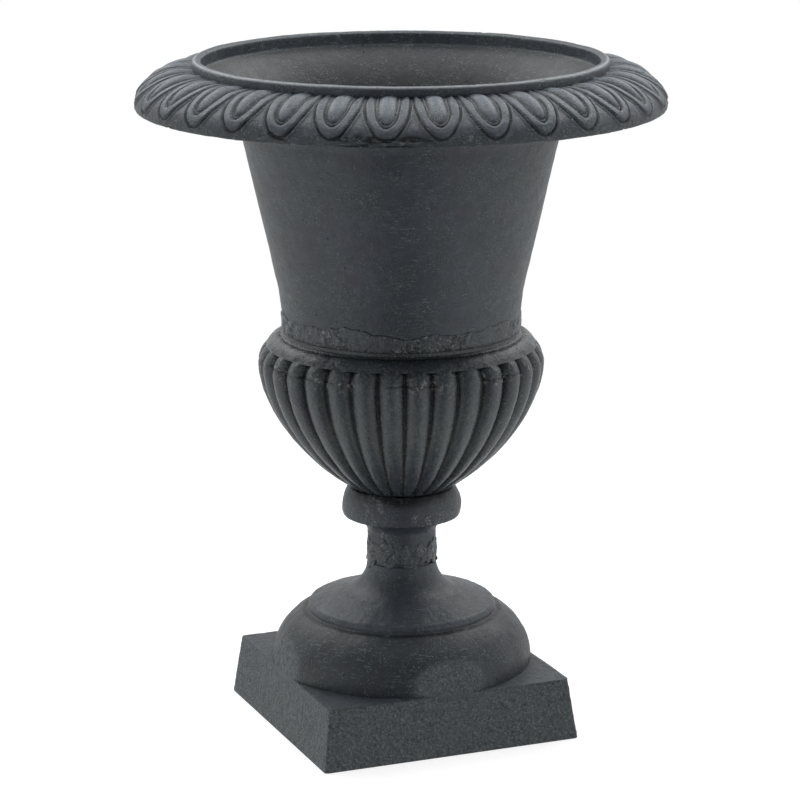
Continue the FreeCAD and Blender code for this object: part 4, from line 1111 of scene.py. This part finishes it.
# %% [markdown]
# ## Camera
#
# The view was fitted to the ellipses of rim and joints and to the plinth's corners: a long lens, a little
# over two metres off, looking down by about fourteen degrees at one corner of the plinth.

# %% The camera

CAMERA_TURN = math.radians(-22.1)
CAMERA_DISTANCE = 2.3427
CAMERA_HEIGHT = 0.8268
CAMERA_PITCH = 0.2425
CAMERA_ROLL = 0.0018
FOCAL_PIXELS = 3228.07
IMAGE_PIXELS = 800
SENSOR = 36.0

lens = bpy.data.cameras.new("camera")
lens.sensor_width = SENSOR
lens.lens = FOCAL_PIXELS / IMAGE_PIXELS * SENSOR
camera = placed("camera", lens)
camera.location = (CAMERA_DISTANCE * math.sin(CAMERA_TURN), -CAMERA_DISTANCE * math.cos(CAMERA_TURN),
                   CAMERA_HEIGHT)
camera.rotation_euler = (math.pi / 2 - CAMERA_PITCH, CAMERA_ROLL, CAMERA_TURN)
bpy.context.scene.camera = camera
print(f"lens {lens.lens:.1f} mm")

# %% [markdown]
# ## Light and background
#
# The studio has pale walls on three sides, so every round form is bright towards its edges, and it is dark
# behind the camera, so the middle is dark. A broad lamp hangs overhead, and two more above the back corners
# give the rim's carving its bright crests. The world makes the walls, as a strength that depends on the
# direction. A white floor catches a faint shadow. It glows for the camera alone, so that the background is
# white without more light on the iron.

# %% Lamps

MIDDLE = (0, 0, 0.3)


def lamp(name, place, size, radiance):
    """A soft rectangular lamp, turned towards the planter. Its power is pi x area x radiance."""
    light = bpy.data.lights.new(name, "AREA")
    light.shape = "RECTANGLE"
    light.size, light.size_y = size
    light.energy = math.pi * size[0] * size[1] * radiance
    item = placed(name, light)
    item.location = place
    way = np.array(MIDDLE, float) - np.array(place, float)
    flat = math.hypot(way[0], way[1])
    item.rotation_euler = (math.atan2(flat, -way[2]), 0, math.atan2(way[1], way[0]) - math.pi / 2)


def beside(turn, distance, height):
    """A place at an angle to the right of the camera's own side, seen from above."""
    angle = CAMERA_TURN - math.pi / 2 + math.radians(turn)
    return distance * math.cos(angle), distance * math.sin(angle), height


lamp("top lamp", (0, 0.01, 2.4), (2.4, 2.4), 2.1)
for name, turn in (("left back lamp", -135), ("right back lamp", 135)):
    lamp(name, beside(turn, 1.4, 1.7), (1.6, 1.3), 2.8)

# %% World and floor

world = bpy.data.worlds.new("studio")
bpy.context.scene.world = world
world.use_nodes = True
tree = world.node_tree
rays = tree.nodes.new("ShaderNodeLightPath")
seen = maths("MAXIMUM", rays.outputs["Is Camera Ray"], rays.outputs["Is Transmission Ray"])
direction = tree.nodes.new("ShaderNodeTexCoord").outputs["Generated"]


def along(vector):
    """The socket of the direction's length along a vector."""
    node = add(tree, "ShaderNodeVectorMath", {"operation": "DOT_PRODUCT"}, Vector=direction)
    node.inputs[1].default_value = vector
    return node.outputs["Value"]


sideways = maths("ABSOLUTE", along(beside(90, 1, 0)))
turn_away = maths("ARCTAN2", sideways, along(beside(0, 1, 0)))
rise = maths("ARCSINE", along((0, 0, 1)))
EIGHTH = math.pi / 4
sides = ranged(turn_away, 0.05, EIGHTH, 0.0, 1.04, "SMOOTHSTEP")
dimmer_back = ranged(turn_away, 2 * EIGHTH, 3 * EIGHTH, 0.0, 0.22, "SMOOTHSTEP")
ceiling = ranged(rise, 0.17, 0.9, 0.0, 1.0, "SMOOTHSTEP")
walls = times(maths("SUBTRACT", sides, dimmer_back), maths("SUBTRACT", 1.0, ceiling))
strength = maths("MAXIMUM", seen, walls)
background = tree.nodes["Background"]
background.inputs["Color"].default_value = (1, 1, 1, 1)
feed(strength, background.inputs["Strength"])

FLOOR_HALF = 3.5
floor_mesh = bpy.data.meshes.new("floor")
floor_corners = [(x * FLOOR_HALF, y * FLOOR_HALF, 0) for x, y in ((-1, -1), (1, -1), (1, 1), (-1, 1))]
floor_mesh.from_pydata(floor_corners, [], [(0, 1, 2, 3)])
floor = placed("floor", floor_mesh)
floor_paint, tree, shader, place = new_material("floor paint")
tree.nodes.remove(shader)
from_middle = add(tree, "ShaderNodeVectorMath", {"operation": "LENGTH"}, Vector=place).outputs["Value"]
rays = tree.nodes.new("ShaderNodeLightPath")
white = add(tree, "ShaderNodeEmission", Color=(1, 1, 1, 1), Strength=1.0).outputs[0]
glow = add(tree, "ShaderNodeEmission", Color=(1, 1, 1, 1), Strength=0.7).outputs[0]
matt = add(tree, "ShaderNodeBsdfDiffuse", Color=(0.5, 0.5, 0.5, 1)).outputs[0]
clear = tree.nodes.new("ShaderNodeBsdfTransparent").outputs[0]
lit = joined("ShaderNodeAddShader", glow, matt)
seen_floor = joined("ShaderNodeMixShader", ranged(from_middle, 0.5, 1.3), lit, white)
unseen_floor = joined("ShaderNodeMixShader", rays.outputs["Is Glossy Ray"], matt, clear)
by_ray = joined("ShaderNodeMixShader", rays.outputs["Is Camera Ray"], unseen_floor, seen_floor)
feed(by_ray, tree.nodes["Material Output"].inputs["Surface"])
floor_mesh.materials.append(floor_paint)
bpy.context.scene.view_settings.view_transform = "Standard"
